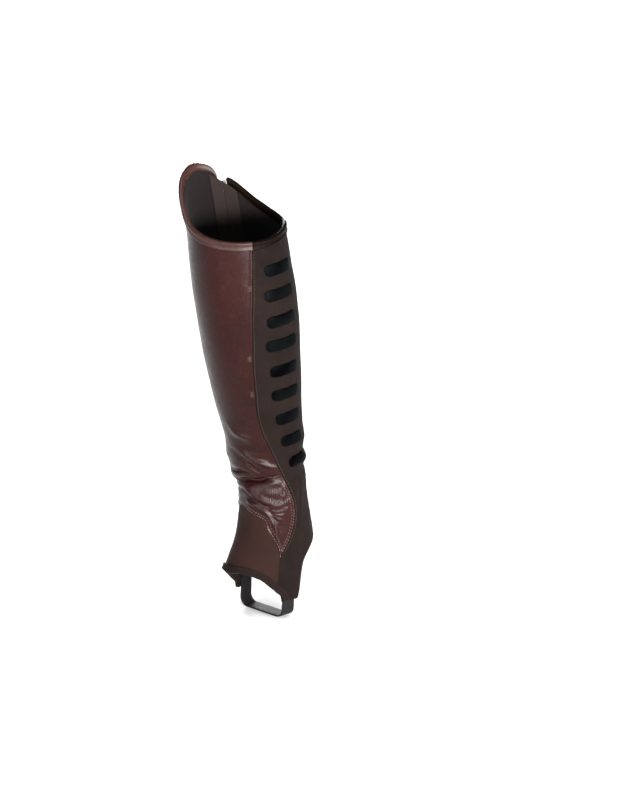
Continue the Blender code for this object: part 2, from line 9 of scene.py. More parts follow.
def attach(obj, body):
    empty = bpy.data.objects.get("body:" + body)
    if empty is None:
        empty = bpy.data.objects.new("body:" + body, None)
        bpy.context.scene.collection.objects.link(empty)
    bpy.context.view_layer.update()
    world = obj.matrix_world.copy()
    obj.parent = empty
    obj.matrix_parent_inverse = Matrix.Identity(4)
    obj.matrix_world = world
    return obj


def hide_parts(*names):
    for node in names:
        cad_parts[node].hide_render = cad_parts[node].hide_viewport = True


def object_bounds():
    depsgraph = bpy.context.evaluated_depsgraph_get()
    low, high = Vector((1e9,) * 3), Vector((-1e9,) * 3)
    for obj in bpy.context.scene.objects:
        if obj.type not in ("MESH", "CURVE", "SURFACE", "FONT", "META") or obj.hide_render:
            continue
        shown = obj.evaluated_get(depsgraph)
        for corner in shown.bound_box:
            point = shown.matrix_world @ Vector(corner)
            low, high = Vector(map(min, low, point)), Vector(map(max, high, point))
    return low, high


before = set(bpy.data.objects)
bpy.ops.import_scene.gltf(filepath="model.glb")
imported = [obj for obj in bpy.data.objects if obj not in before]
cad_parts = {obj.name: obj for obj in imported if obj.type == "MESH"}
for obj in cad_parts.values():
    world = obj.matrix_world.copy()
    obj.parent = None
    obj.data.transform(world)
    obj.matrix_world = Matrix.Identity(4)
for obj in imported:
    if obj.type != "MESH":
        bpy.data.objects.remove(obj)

CAD_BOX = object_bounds()
MM = 0.001
UV_MM_PER_DEGREE = 0.8

# The leg form, as in part.py
SECTIONS = (
    # height, half width, front depth, back depth, centre y
    (20, 37.5, 84, 46, 2),
    (50, 37.5, 76, 46, 3),
    (75, 36.5, 63, 45, 4),
    (95, 35, 53, 43, 5),
    (115, 34, 45, 40, 4),
    (140, 34, 40, 38, 0.5),
    (165, 36, 40, 39, -4.5),
    (195, 39, 41, 42, -10.5),
    (230, 43, 43.5, 46, -18.5),
    (272, 48, 47, 51, -27),
    (317, 51.5, 50, 55.5, -34),
    (362, 53, 51.5, 57.5, -41),
    (407, 52.5, 51, 55, -48),
    (440, 52, 50.5, 52, -53),
    (475, 54, 51.5, 51, -58.5),
    (515, 58, 54, 51, -65),
)
HALF_WIDTH, FRONT_DEPTH, BACK_DEPTH, CENTRE_Y = 1, 2, 3, 4
HOLD_HEIGHT = 362
HOLD_Y = -41

FOLDS = (
    # angle, height, depth out, half height, half spread, climb per degree
    (22, 165.5, -2.6, 4.6, 62, 0.12),
    (-8, 174.5, -1.7, 4.0, 34, 0.06),
    (33, 190, 1.7, 5.5, 36, -0.32),
    (25, 181.5, -1.0, 4.5, 22, -0.45),
    (-45, 187, 2.4, 15, 55, 0.0),
    (-42, 167.5, 2.0, 5.5, 40, 0.05),
    (24, 149.5, 1.1, 5.0, 28, -0.4),
    (13, 221, 1.1, 8.0, 26, -0.35),
    (-52, 153, -1.8, 6.5, 36, -0.05),
    (-62, 200, 1.4, 8.0, 34, -0.55),
    (-98, 176, -1.3, 7.0, 34, -0.25),
    (135, 207, 1.3, 7.5, 46, 0.05),
    (132, 195, -0.9, 6.0, 40, -0.1),
    (135, 183, 1.8, 7.0, 48, 0.05),
    (128, 172, -1.4, 6.5, 44, 0.1),
    (178, 163, 1.2, 8.0, 40, 0.0),
)

# The top edge, above the lowest point of the rim
RIM_LOW = 431
RIM = (
    # angle, rise
    (-180, 18), (-160, 28), (-140, 44), (-125, 54), (-110, 63), (-95, 66), (-80, 62), (-60, 50),
    (-40, 32), (-20, 16), (0, 7.5), (20, 3.5), (45, 1.5), (70, 2), (90, 4), (110, 7.5), (136, 11.5),
    (160, 13), (180, 18),
)

# The seam between leather and inner panel, and below it the seam of instep panel and inner panel
SEAM = (
    # height, angle
    (81, 65), (90, 70.5), (98, 75), (107, 78.5), (120, 82.2), (135, 82.5), (151, 79), (168, 72),
    (181, 64.5), (195, 58.2), (209, 52.5), (223, 47.2), (239, 44.8), (269, 46.2), (306, 48), (323, 50),
    (350, 52.8), (375, 56.8), (399, 59.8), (417, 62.2), (435, 64.5),
)
TIP_HEIGHT = 81
INSTEP_SEAM = (
    # height, angle
    (44, 67.2), (62, 65.8), (81, 65),
)

HEM = (
    # angle, height
    (-76, 35), (-70, 41), (-60, 50.5), (-45, 60), (-24, 66), (0, 67), (24, 67.5), (37, 64.5), (50, 59),
    (63, 48.5), (72, 40), (76, 35),
)

# Lower edges of the two large panels
LEATHER_LOW = (
    # angle, height
    (-112, 81), (-103, 75), (-96, 66), (-91.5, 50), (-88, 31), (-81, 31), (-74.5, 31), (-73, 37.5),
    (-70, 41), (-63, 56), (-55, 75), (-46, 96), (-37, 114), (-28, 127), (-18, 133.5), (-5, 132.5),
    (8, 129), (18, 126), (28, 123.5), (36, 120.5), (41, 111.5), (49, 102.5), (57, 93),
)
LEATHER_LOW_AT_ZIP = 86
INNER_LOW = (
    # angle, height
    (70.5, 41), (73.4, 37), (74.6, 31), (81, 31), (88, 31), (91, 48), (94, 61), (98, 70), (105, 76),
    (112, 80), (122, 84), (132, 86.5), (142, 88.5), (152, 90), (162, 91), (172, 91.5), (182, 91.5),
    (192, 91.2), (202, 90.5), (212, 89.5), (221.5, 88.2),
)
INNER_LOW_AT_SEAM = 44
INNER_LOW_AT_ZIP = 86.5

# Height between the lower and the upper rows of a panel's grid, and the part above it with close rows
SPLIT = 140
FOLD_SPAN = 96

# Thickness of leather and of cloth, the gap at a seam, and the gap under what is laid on a panel
LEATHER = 2.0
STRETCH = 1.5
SEAM_GAP = 0.1
LAID_ON = 0.4

GRIP_BARS = (
    # height at the front end, front angle, rear angle
    (401, 75, 120),
    (374, 71, 117),
    (345.5, 70, 115.5),
    (319.5, 66, 114.5),
    (291, 68, 113),
    (264, 67, 113.5),
    (236, 69.5, 116),
    (210, 73.5, 116),
    (184.5, 83, 124),
)
BAR_HALF_HEIGHT = 6.2
BAR_RISE = 2.5
BAR_CORNER = 0.82
BAR_WOBBLE = 0.12

PATCH_LOW = 432
PATCH_BELOW_RIM = 8.0
PATCH = (
    # share of the way up, front angle, rear angle
    (0.0, -88, -98),
    (0.03, -81, -105),
    (0.09, -75, -109.5),
    (0.2, -69, -112),
    (0.4, -62, -114),
    (0.7, -54, -116),
    (1.0, -48, -117),
)
# A power that draws the rows of the patch together toward its low point
PATCH_GRADE = 1.3

# The zip at the back of the lateral side; lengths across it start at its middle line
ZIP_ANGLE = -125
ZIP_HALF_GAP = 4.6
TAPE_HALF_WIDTH = 14
TAPE_BELOW_RIM = 8.1
ZIP_LOW = 88
ZIP_STITCH = 2.2
COIL_PITCH = 1.36
COIL_RADIUS = 0.42
SLIDER_BELOW_RIM = 8
SLIDER_LENGTH = 11

# The pull loop: half widths at its top and end, distance from the form, and how much closer its end lies
PULL_LENGTH = 26
PULL_HALF_WIDTHS = (3.0, 3.2)
PULL_OUT = 2.5
PULL_LEAN = 0.7
CORD_RADIUS = 1.25
CORD_SIDES = 12

# The strap: distance of its outer face from the form (inside it), its thickness and its rounded edge
STRAP_OUT = -3.95
STRAP_THICK = 1.8
STRAP_EDGE = 0.45
STRAP_MM_PER_DEGREE = 0.75
SOLE_RADIUS = 10

# The folded strips: distance from the panel to the fold, its thickness, and a small swell along it
RIM_BINDING_NEAR = 0.4
HEM_BINDING_NEAR = 0.55
BINDING_THICK = 1.0
BINDING_WAVE = 0.05

STITCH_SIDES = 6

# Creases and ridges, listed one by one. Each line fades at both ends, and lies in a wider swell the other
# way
LINE_FADE = 0.3
SWELL_SHARE = 0.25
SWELL_WIDTH = 2.4
CREASES = (
    # half width above its line, half width below, depth out, line of (angle, height) spots
    (1.8, 1.4, -2.4, ((-30, 159), (5, 164), (33, 165.5), (47, 169.5), (80, 174))),
    (6.0, 8.0, -1.4, ((-24, 160), (5, 164), (33, 166), (56, 169))),
    (1.4, 1.4, -1.5, ((-40, 169), (-15, 172.5), (4, 175), (24, 174.5))),
    (2.6, 2.0, 1.3, ((5, 198), (19, 193), (34, 188), (50, 183), (66, 179.5))),
    (2.0, 2.0, -1.4, ((10, 188.5), (24.5, 180.5), (40, 175))),
    (3.2, 4.4, 1.2, ((-10, 227), (8, 219.5), (22, 216.5), (38, 213))),
    (1.6, 1.6, 1.1, ((4, 167.5), (29, 169.5), (63, 175.5))),
    (2.2, 1.8, 0.8, ((-8, 157.5), (9, 153.7), (20, 150), (34, 144.7), (50, 140))),
    (1.8, 2.2, -1.0, ((2, 147), (20, 144), (35, 140), (50, 135))),
    (3.2, 1.5, 1.5, ((-4, 142), (4, 140.5), (12, 139.5), (26, 135), (37.5, 130), (44, 122.5), (51, 112.5),
                     (57.5, 99), (62.5, 88), (66, 77))),
    (1.6, 1.6, -0.5, ((12, 135), (28, 129), (38, 121), (45.5, 110), (56, 94))),
    (2.4, 2.0, 0.8, ((68, 162), (69.5, 157), (68, 149), (63, 142))),
    (1.6, 1.6, -0.7, ((-12, 153), (6, 150), (22, 144))),
    (1.4, 1.4, -0.8, ((44, 135), (57, 134.5), (74, 138))),
    (1.3, 1.3, 0.5, ((46, 132.5), (58, 131.5), (73, 134))),
    (1.3, 1.3, 0.5, ((46, 131), (57, 127.5), (69, 127))),
    (1.3, 1.3, 0.45, ((46, 129), (55, 123.5), (64, 119.5))),
    (1.8, 1.8, -1.9, ((-4, 154.5), (-28, 152), (-50, 153.5), (-72, 159))),
    (1.8, 1.8, 0.9, ((-10, 160), (-30, 162.5), (-56, 165))),
    (1.5, 1.5, -0.6, ((-24, 146.5), (-44, 144), (-60, 146))),
    (1.8, 1.8, 0.6, ((-16, 138.5), (-32, 135), (-44, 127))),
    (5.0, 5.0, 0.8, ((-26, 164), (-52, 180), (-84, 202))),
    (3.0, 3.0, -0.7, ((-40, 205), (-70, 218), (-100, 236))),
    (4.0, 4.0, 0.6, ((-80, 168), (-100, 176), (-118, 190))),
    (2.4, 2.4, -0.8, ((-78, 150), (-96, 152), (-118, 162))),
    (2.2, 2.2, 0.7, ((-102, 150), (-94, 120), (-87, 88), (-82, 56))),
    (4.5, 4.5, 0.8, ((112, 165), (106, 146), (97, 120))),
    (3.0, 3.0, -0.7, ((102, 168), (99, 146), (90, 122))),
    (5.0, 5.0, 0.6, ((96, 128), (90, 108), (86, 84))),
    (3.0, 3.0, -0.8, ((84, 180), (104, 178), (128, 172))),
    (3.0, 3.0, -0.7, ((100, 199), (130, 192), (165, 190))),
    (3.4, 3.4, 0.7, ((104, 188), (135, 183), (170, 181))),
    (2.6, 2.6, -0.6, ((150, 168), (180, 158), (210, 160))),
    (3.5, 3.5, 0.5, ((140, 214), (170, 208), (205, 212))),
    (3.2, 3.2, -0.8, ((-42, 417), (-60, 413), (-80, 416))),
    (3.6, 3.6, 0.7, ((-44, 426), (-60, 423), (-76, 425))),
)

# The leather stands out over the ankle bone, in a slope from the main crease to a soft ridge
BONE_RIDGE = (
    # angle, height
    (-20, 160), (-8, 157), (9, 153.7), (20, 150.3), (34, 144.7), (50, 139.5), (62, 139), (74, 143),
    (90, 146), (110, 146),
)
BONE_TOP = (
    # angle, height
    (-20, 161.5), (-8, 162), (5, 164), (33, 165.5), (47, 167), (60, 166), (71, 165.5), (110, 168),
)
BONE_SLOPE = 0.19
BONE_OUT = 5.4
BONE_BELOW = 34

# Fine upright puckers in the leather over the ankle bone
PUCKER_PITCH = 2.2
PUCKER_DEPTH = 0.17
PUCKER_LEAN = 0.15
PUCKER_MIDDLE = (58, 148)
PUCKER_HALF = (16, 13)
DEGREE_LENGTH = 0.64

# The rolled edge of the leather along the medial seam, and the bars of thread across it
ROLL_WIDTH = 3.6
ROLL_RAMP = 2.4
ROLL_RISE = 0.6
ROLL_LOW = 176
ROLL_FADE = 18
TACK_HEIGHTS = (265, 305.5, 382)
TACK_BARS = 4
TACK_PITCH = 1.5

# How far the instep cloth goes on under the leather's edge, and how much further at the V's tip
TUCK = 0.7
TIP_TUCK = 1.8

# The rim's rounded corners at the zip
CORNER_RADIUS = 6.5
RIM_MM_PER_DEGREE = 0.97


def hermite(rows, value, column, tangents_of):
    table = np.array(rows, dtype=float)
    keys, column = table[:, 0], table[:, column]
    value = np.clip(np.asarray(value, dtype=float), keys[0], keys[-1])
    i = np.clip(np.searchsorted(keys, value, side="right") - 1, 0, len(keys) - 2)
    width = np.diff(keys)
    tangent = tangents_of(width, np.diff(column) / width)
    s = (value - keys[i]) / width[i]
    return ((1 + 2 * s) * (1 - s) ** 2 * column[i] + s * (1 - s) ** 2 * width[i] * tangent[i]
            + s * s * (3 - 2 * s) * column[i + 1] + s * s * (s - 1) * width[i] * tangent[i + 1])


def smooth_tangents(width, slope):
    inner = (slope[:-1] * width[1:] + slope[1:] * width[:-1]) / (width[:-1] + width[1:])
    return np.concatenate(([slope[0]], inner, [slope[-1]]))


def steady_tangents(width, slope):
    """Tangents that never carry the curve past its points."""
    before, after = slope[:-1], slope[1:]
    together = before * after > 0
    total = np.where(together, before + after, 1)
    inner = np.where(together, 2 * before * after / total, 0)
    return np.concatenate(([slope[0]], inner, [slope[-1]]))


def smooth(rows, value, column=1):
    """Read a column of a table at any values of its first column, on the smooth curve of part.py."""
    return hermite(rows, value, column, smooth_tangents)


def steady(rows, value, column=1):
    return hermite(rows, value, column, steady_tangents)


def turned(angle):
    return (angle + 180) % 360 - 180


def rim_height(angle):
    return RIM_LOW + smooth(RIM, turned(np.asarray(angle, dtype=float)))


def rim_edge(angle):
    """The rim with its two corners at the zip rounded off."""
    aside = np.abs(turned(np.asarray(angle, dtype=float) - ZIP_ANGLE)) * RIM_MM_PER_DEGREE - ZIP_HALF_GAP
    return rim_height(angle) - rounding(np.maximum(aside, 0), CORNER_RADIUS)


def fold_depth(angle, height):
    total = 0
    for middle, level, depth, half_height, half_spread, climb in FOLDS:
        aside = turned(angle - middle)
        across = (height - level - climb * aside) / half_height
        total = total + depth * np.exp(-across * across - (aside / half_spread) ** 2 * 1.6)
    return total


def form(angle, height):
    """Points on the outside of the CAD form."""
    angle, height = np.broadcast_arrays(np.asarray(angle, dtype=float), np.asarray(height, dtype=float))
    turn = np.radians(angle)
    push = fold_depth(angle, height)
    side = smooth(SECTIONS, height, HALF_WIDTH) + push
    front = smooth(SECTIONS, height, FRONT_DEPTH)
    back = smooth(SECTIONS, height, BACK_DEPTH)
    depth = np.where(np.cos(turn) > 0, front, back) + push
    centre = smooth(SECTIONS, height, CENTRE_Y)
    return np.stack((side * np.sin(turn), centre - depth * np.cos(turn), height), axis=-1)


def form_slopes(angle, height):
    step = 0.5
    along = (form(angle + step, height) - form(angle - step, height)) / (2 * step)
    up = (form(angle, height + step) - form(angle, height - step)) / (2 * step)
    return along, up


def unit(vectors):
    return vectors / np.maximum(np.linalg.norm(vectors, axis=-1, keepdims=True), 1e-9)


def run_length(points):
    """Length along a line at each of its points."""
    return np.concatenate(([0], np.cumsum(np.linalg.norm(np.diff(points, axis=0), axis=1))))


def circle(sides):
    """Points round a circle of radius 1."""
    turns = 2 * np.pi * np.arange(sides) / sides
    return np.stack((np.cos(turns), np.sin(turns)), axis=-1)


def outward(angle, height):
    return unit(np.cross(*form_slopes(angle, height)))


def mm_per_degree(angle, height):
    return np.linalg.norm(form_slopes(angle, height)[0], axis=-1)


def angle_beside(middle, height, distance):
    return middle + distance / mm_per_degree(middle, height)


def beside_zip(height, distance):
    return angle_beside(ZIP_ANGLE, height, distance)


def seam_angle(height):
    height = np.asarray(height, dtype=float)
    return np.where(height < TIP_HEIGHT, smooth(INSTEP_SEAM, height), smooth(SEAM, height))


def beside_seam(height, distance):
    return angle_beside(seam_angle(height), height, distance)


def soft_step(share):
    """0 up to a share of 0 and 1 from a share of 1, with a soft rise between."""
    share = np.clip(share, 0, 1)
    return share * share * (3 - 2 * share)


def line_of(spots, steps):
    """A smooth line through a few (angle, height) spots."""
    rows = [(k, *spot) for k, spot in enumerate(spots)]
    at = np.linspace(0, len(spots) - 1, steps)
    return np.stack((smooth(rows, at, 1), smooth(rows, at, 2)), axis=-1)


def crease_push(angle, height, above, below, depth, spots):
    """A soft groove or ridge along a line, of its own width on each side."""
    line = line_of(spots, 6 * (len(spots) - 1) + 1)
    middle = line[:, 0].mean()
    scale = float(mm_per_degree(middle, line[:, 1].mean()))
    x, y = turned(angle - middle) * scale, height
    line_x, line_y = (line[:, 0] - middle) * scale, line[:, 1]
    reach = 3 * max(above, below)
    near = ((x > line_x.min() - reach) & (x < line_x.max() + reach)
            & (y > line_y.min() - reach) & (y < line_y.max() + reach))
    push = np.zeros(np.shape(x))
    x, y = x[near], y[near]
    best, share, upper = np.full(x.shape, 1e9), np.zeros(x.shape), np.zeros(x.shape, dtype=bool)
    count = len(line_x) - 1
    for k in range(count):
        run_x, run_y = line_x[k + 1] - line_x[k], line_y[k + 1] - line_y[k]
        away_x, away_y = x - line_x[k], y - line_y[k]
        at = np.clip((away_x * run_x + away_y * run_y) / (run_x ** 2 + run_y ** 2), 0, 1)
        distance = np.hypot(away_x - at * run_x, away_y - at * run_y)
        closer = distance < best
        best = np.where(closer, distance, best)
        share = np.where(closer, (k + at) / count, share)
        upper = np.where(closer, (run_x * away_y - run_y * away_x) * math.copysign(1, run_x) > 0, upper)
    across = best / np.where(upper, above, below)
    profile = (np.exp(-across ** 2) - SWELL_SHARE * np.exp(-(across / SWELL_WIDTH) ** 2)) / (1 - SWELL_SHARE)
    push[near] = depth * soft_step(np.minimum(share, 1 - share) / LINE_FADE) * profile
    return push


def unevenness(angle, height, size, depth, seed):
    """Random swell of a worn cloth; size is its length round the leg and up it."""
    points = form(angle, height).reshape(-1, 3) / np.array((size[0], size[0], size[1]))
    values = [noise.noise((x + seed, y, z)) for x, y, z in points]
    return depth * np.reshape(values, np.shape(angle))


def ankle_share(height):
    """1 where the ankle creases the cloth, 0 far from it."""
    return np.exp(-(np.abs(height - 165) / 60) ** 2.6)


def puckers(angle, height):
    aside = turned(angle - PUCKER_MIDDLE[0])
    above = height - PUCKER_MIDDLE[1]
    inside = np.exp(-(aside / PUCKER_HALF[0]) ** 4 - (above / PUCKER_HALF[1]) ** 4)
    phase = (aside - PUCKER_LEAN * above) * DEGREE_LENGTH / PUCKER_PITCH
    return PUCKER_DEPTH * inside * np.sin(2 * np.pi * phase)


def bone_push(angle, height):
    """How far the leather stands out over the ankle bone."""
    angle = turned(angle)
    ridge, top = smooth(BONE_RIDGE, angle), smooth(BONE_TOP, angle)
    out = np.minimum(BONE_OUT, BONE_SLOPE * (top - ridge))
    share = np.clip((top - height) / (top - ridge), 0, 1)
    fall = np.exp(-(np.maximum(ridge - height, 0) / BONE_BELOW) ** 2)
    return out * share * fall * soft_step((angle + 14) / 30) * soft_step((108 - angle) / 28)


def relief(angle, height):
    """All that the cloth's surface adds to the CAD form."""
    wrinkles = unevenness(angle, height, (15, 5.5), 0.65, 8.0) * ankle_share(height)
    swell = unevenness(angle, height, (32, 32), 0.5, 3.0)
    creases = sum(crease_push(angle, height, *row) for row in CREASES)
    return creases + bone_push(angle, height) + swell + wrinkles


def placed(points):
    return (points - np.array((0, HOLD_Y, HOLD_HEIGHT))) * MM


# Meshes


def linked(name, data):
    made = bpy.data.objects.new(name, data)
    bpy.context.scene.collection.objects.link(made)
    return made


def mesh_piece(name, points, faces, finishes, kinds=None, uv=None):
    mesh = bpy.data.meshes.new(name)
    mesh.from_pydata(np.asarray(points).reshape(-1, 3).tolist(), [], faces)
    for finish in finishes:
        mesh.materials.append(finish)
    if kinds is not None:
        mesh.polygons.foreach_set("material_index", np.asarray(kinds, dtype=np.int32))
    if uv is not None:
        layer = mesh.uv_layers.new(name="surface")
        corners = np.empty(len(mesh.loops), dtype=np.int32)
        mesh.loops.foreach_get("vertex_index", corners)
        layer.data.foreach_set("uv", np.asarray(uv, dtype=np.float32).reshape(-1, 2)[corners].ravel())
    mesh.shade_smooth()
    mesh.update()
    return linked(name, mesh)


def grid_faces(rows, columns, start, flip=False):
    index = np.arange(rows * columns).reshape(rows, columns) + start
    corners = (index[:-1, :-1], index[:-1, 1:], index[1:, 1:], index[1:, :-1])
    quads = np.stack(corners, axis=-1).reshape(-1, 4)
    return quads[:, ::-1] if flip else quads


def ring_index(rows, columns):
    index = np.arange(rows * columns).reshape(rows, columns)
    return np.concatenate((index[0, :-1], index[:-1, -1], index[-1, :0:-1], index[:0:-1, 0]))


def edge_distance(angle, height):
    """Real distance of each grid point from the nearest edge of its grid."""
    points = form(angle, height)
    best = np.inf
    for axis, pad in ((0, ((1, 0), (0, 0))), (1, ((0, 0), (1, 0)))):
        steps = np.linalg.norm(np.diff(points, axis=axis), axis=-1)
        run = np.pad(np.cumsum(steps, axis=axis), pad)
        best = np.minimum(best, np.minimum(run, np.take(run, [-1], axis) - run))
    return best


def rounding(distance, radius):
    inside = radius - np.minimum(distance, radius)
    return radius - np.sqrt(np.maximum(radius ** 2 - inside ** 2, 0))


def shell(name, angle, height, outer, inner, finish, lining, round_edge):
    """A closed cloth of two grids with rounded edges, outside at outer and inside at inner."""
    rows, columns = angle.shape
    drop = rounding(edge_distance(angle, height), round_edge)
    base, out = form(angle, height), outward(angle, height)
    lift = relief(angle, height)
    outside = placed(base + out * (outer + lift - drop)[..., None])
    inside = placed(base + out * (inner + lift + drop)[..., None])
    count = rows * columns
    rim = ring_index(rows, columns)
    after = np.roll(rim, -1)
    walls = np.stack((rim, rim + count, after + count, after), axis=-1)
    faces = np.concatenate((grid_faces(rows, columns, 0), grid_faces(rows, columns, count, True), walls))
    kinds = np.zeros(len(faces), dtype=np.int32)
    kinds[(rows - 1) * (columns - 1):2 * (rows - 1) * (columns - 1)] = 1
    uv = np.stack((angle * UV_MM_PER_DEGREE, height), axis=-1) * MM
    points = np.concatenate((outside.reshape(-1, 3), inside.reshape(-1, 3)))
    return mesh_piece(name, points, faces.tolist(), [finish, lining], kinds, np.concatenate((uv, uv)))


def tube_faces(index):
    """Faces of a closed bar; each row of index holds the points of one of its rings."""
    after = np.roll(index, -1, axis=1)
    sides = np.stack((index[:-1], after[:-1], after[1:], index[1:]), axis=-1).reshape(-1, 4)
    return [*sides.tolist(), index[0][::-1].tolist(), index[-1].tolist()]


def sweep(name, sections, finish, uv=None):
    """A closed bar through rings of the same number of points."""
    rings, count = sections.shape[:2]
    faces = tube_faces(np.arange(rings * count).reshape(rings, count))
    made = mesh_piece(name, sections, faces, [finish], uv=uv)
    face_out(made)
    return made


def face_out(piece):
    bm = bmesh.new()
    bm.from_mesh(piece.data)
    bmesh.ops.recalc_face_normals(bm, faces=bm.faces)
    if bm.calc_volume(signed=True) < 0:
        bmesh.ops.reverse_faces(bm, faces=bm.faces)
    bm.to_mesh(piece.data)
    bm.free()


def settle(piece, body, slot, *nodes):
    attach(piece, body)
    if nodes:
        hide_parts(*nodes)
    return piece


# Materials


def linear(srgb):
    return [(c / 255 / 12.92) if c <= 10 else ((c / 255 + 0.055) / 1.055) ** 2.4 for c in srgb]


# Bands that a wave texture of scale 1 draws in one unit of length
WAVES_PER_UNIT = 3.18


class Finish:
    """A material with helpers for its nodes."""

    def __init__(self, name):
        self.made = bpy.data.materials.new(name)
        self.made.use_nodes = True
        self.nodes = self.made.node_tree.nodes
        self.links = self.made.node_tree.links
        self.shader = self.nodes["Principled BSDF"]
        coordinates = self.add("ShaderNodeTexCoord")
        self.place = coordinates.outputs["Object"]
        self.flat = coordinates.outputs["UV"]
        self.height = None

    def add(self, kind, inputs=None, **settings):
        node = self.nodes.new(kind)
        for key, value in settings.items():
            setattr(node, key, value)
        for key, value in (inputs or {}).items():
            self.put(value, node.inputs[key])
        return node

    def put(self, value, socket):
        if isinstance(value, bpy.types.NodeSocket):
            self.links.new(value, socket)
        else:
            socket.default_value = value

    def noise(self, scale, detail, roughness, vector=None, distortion=0.0):
        inputs = {"Vector": vector or self.place, "Scale": scale, "Detail": detail,
                  "Roughness": roughness, "Distortion": distortion}
        return self.add("ShaderNodeTexNoise", inputs).outputs["Fac"]

    def cells(self, scale):
        inputs = {"Vector": self.place, "Scale": scale}
        return self.add("ShaderNodeTexVoronoi", inputs, feature="DISTANCE_TO_EDGE").outputs["Distance"]

    def wave(self, scale, direction, vector, distortion):
        inputs = {"Vector": vector, "Scale": scale, "Distortion": distortion, "Detail": 0.0}
        return self.add("ShaderNodeTexWave", inputs, bands_direction=direction).outputs["Fac"]

    def stretched(self, upward):
        """Places scaled along the height, which stretches or flattens a pattern."""
        inputs = {"Vector": self.place, "Scale": (1, 1, upward)}
        return self.add("ShaderNodeMapping", inputs).outputs["Vector"]

    def span(self, value, low, high, to_low=0.0, to_high=1.0):
        inputs = {"Value": value, "From Min": low, "From Max": high, "To Min": to_low, "To Max": to_high}
        return self.add("ShaderNodeMapRange", inputs).outputs["Result"]

    def math(self, operation, a, b):
        node = self.add("ShaderNodeMath", operation=operation)
        self.put(a, node.inputs[0])
        self.put(b, node.inputs[1])
        return node.outputs[0]

    def blend(self, factor, a, b):
        node = self.add("ShaderNodeMix", data_type="RGBA")
        self.put(factor, node.inputs["Factor"])
        for value, socket in ((a, node.inputs[6]), (b, node.inputs[7])):
            self.put(value if isinstance(value, bpy.types.NodeSocket) else (*linear(value), 1), socket)
        return node.outputs[2]

    def bump(self, height, depth, strength=1.0):
        inputs = {"Height": height, "Distance": depth, "Strength": strength}
        if self.height is not None:
            inputs["Normal"] = self.height
        self.height = self.add("ShaderNodeBump", inputs).outputs["Normal"]

    def finish(self, colour, roughness, **constants):
        self.put(colour, self.shader.inputs["Base Color"])
        self.put(roughness, self.shader.inputs["Roughness"])
        for key, value in constants.items():
            self.shader.inputs[key.replace("_", " ")].default_value = value
        if self.height is not None:
            self.put(self.height, self.shader.inputs["Normal"])
        return self.made


def leather_finish(name, dark, light, red, roughness=0.24, gloss=0.12):
    """Smooth waxed leather: cloudy dye, fine grain, faint scuffs."""
    f = Finish(name)
    cloud = f.span(f.noise(22, 4, 0.55, distortion=0.4), 0.34, 0.66)
    patchy = f.span(f.noise(75, 5, 0.6), 0.3, 0.7)
    warm = f.span(f.noise(13, 2, 0.5, vector=f.stretched(0.45)), 0.48, 0.68)
    colour = f.blend(cloud, dark, light)
    colour = f.blend(f.math("MULTIPLY", warm, 0.75), colour, red)
    colour = f.blend(f.math("MULTIPLY", patchy, 0.22), colour, light)
    grain = f.cells(1050)
    colour = f.blend(f.span(grain, 0.0, 0.05, 0.35, 0.0), colour, dark)
    fine = f.noise(2600, 2, 0.5)
    f.bump(f.span(grain, 0.0, 0.16), 0.00006, 0.55)
    f.bump(fine, 0.00003, 0.5)
    wrinkles = f.noise(170, 4, 0.62, vector=f.stretched(1.9), distortion=0.8)
    f.bump(f.span(wrinkles, 0.35, 0.65), 0.00012, 0.5)
    rough = f.math("ADD", f.span(patchy, 0, 1, roughness - 0.06, roughness + 0.07),
                   f.span(fine, 0.3, 0.7, -0.04, 0.04))
    return f.finish(colour, rough, Specular_IOR_Level=gloss)


def suede_finish(name, dark, light, fuzz):
    """Matte brushed cloth of the inner panel, and the plain backs of all panels."""
    f = Finish(name)
    cloud = f.span(f.noise(26, 4, 0.6), 0.32, 0.68)
    nap = f.noise(1500, 4, 0.7)
    brushed = f.noise(240, 3, 0.6, vector=f.stretched(0.5))
    colour = f.blend(cloud, dark, light)
    colour = f.blend(f.span(nap, 0.35, 0.7, 0.0, 0.4), colour, light)
    colour = f.blend(f.span(brushed, 0.4, 0.7, 0.0, 0.25), colour, dark)
    f.bump(nap, 0.00012, 0.7)
    f.bump(brushed, 0.0002, 0.35)
    return f.finish(colour, 0.86, Sheen_Weight=fuzz, Sheen_Roughness=0.5, Specular_IOR_Level=0.07)


def stretch_finish(name, dark, light):
    """Fine ribbed knit of the instep panel."""
    f = Finish(name)
    cloud = f.span(f.noise(30, 3, 0.5), 0.3, 0.7)
    ribs = f.wave(330, "X", f.flat, 0.5)
    courses = f.wave(420, "Y", f.flat, 0.5)
    knit = f.math("MULTIPLY", ribs, courses)
    colour = f.blend(cloud, dark, light)
    colour = f.blend(f.span(knit, 0.0, 0.5, 0.4, 0.0), colour, dark)
    f.bump(knit, 0.00012, 0.6)
    f.bump(f.noise(900, 3, 0.6), 0.00006, 0.5)
    return f.finish(colour, 0.78, Sheen_Weight=0.03, Sheen_Roughness=0.5, Specular_IOR_Level=0.08)


def ribbed_finish(name, dark, light, pitch, direction, depth=0.00018):
    """Woven elastic or tape with ribs of one pitch."""
    f = Finish(name)
    scale = 1 / (pitch * MM * WAVES_PER_UNIT)
    ribs = f.wave(scale, direction, f.flat, 0.15)
    weft = f.wave(scale * 2.3, "Y" if direction == "X" else "X", f.flat, 0.3)
    colour = f.blend(f.span(ribs, 0.1, 0.9), dark, light)
    colour = f.blend(f.span(f.noise(500, 3, 0.6), 0.3, 0.7, 0.0, 0.3), colour, dark)
    f.bump(ribs, depth, 0.9)
    f.bump(weft, depth * 0.35, 0.6)
    return f.finish(colour, 0.75, Sheen_Weight=0.02, Specular_IOR_Level=0.06)


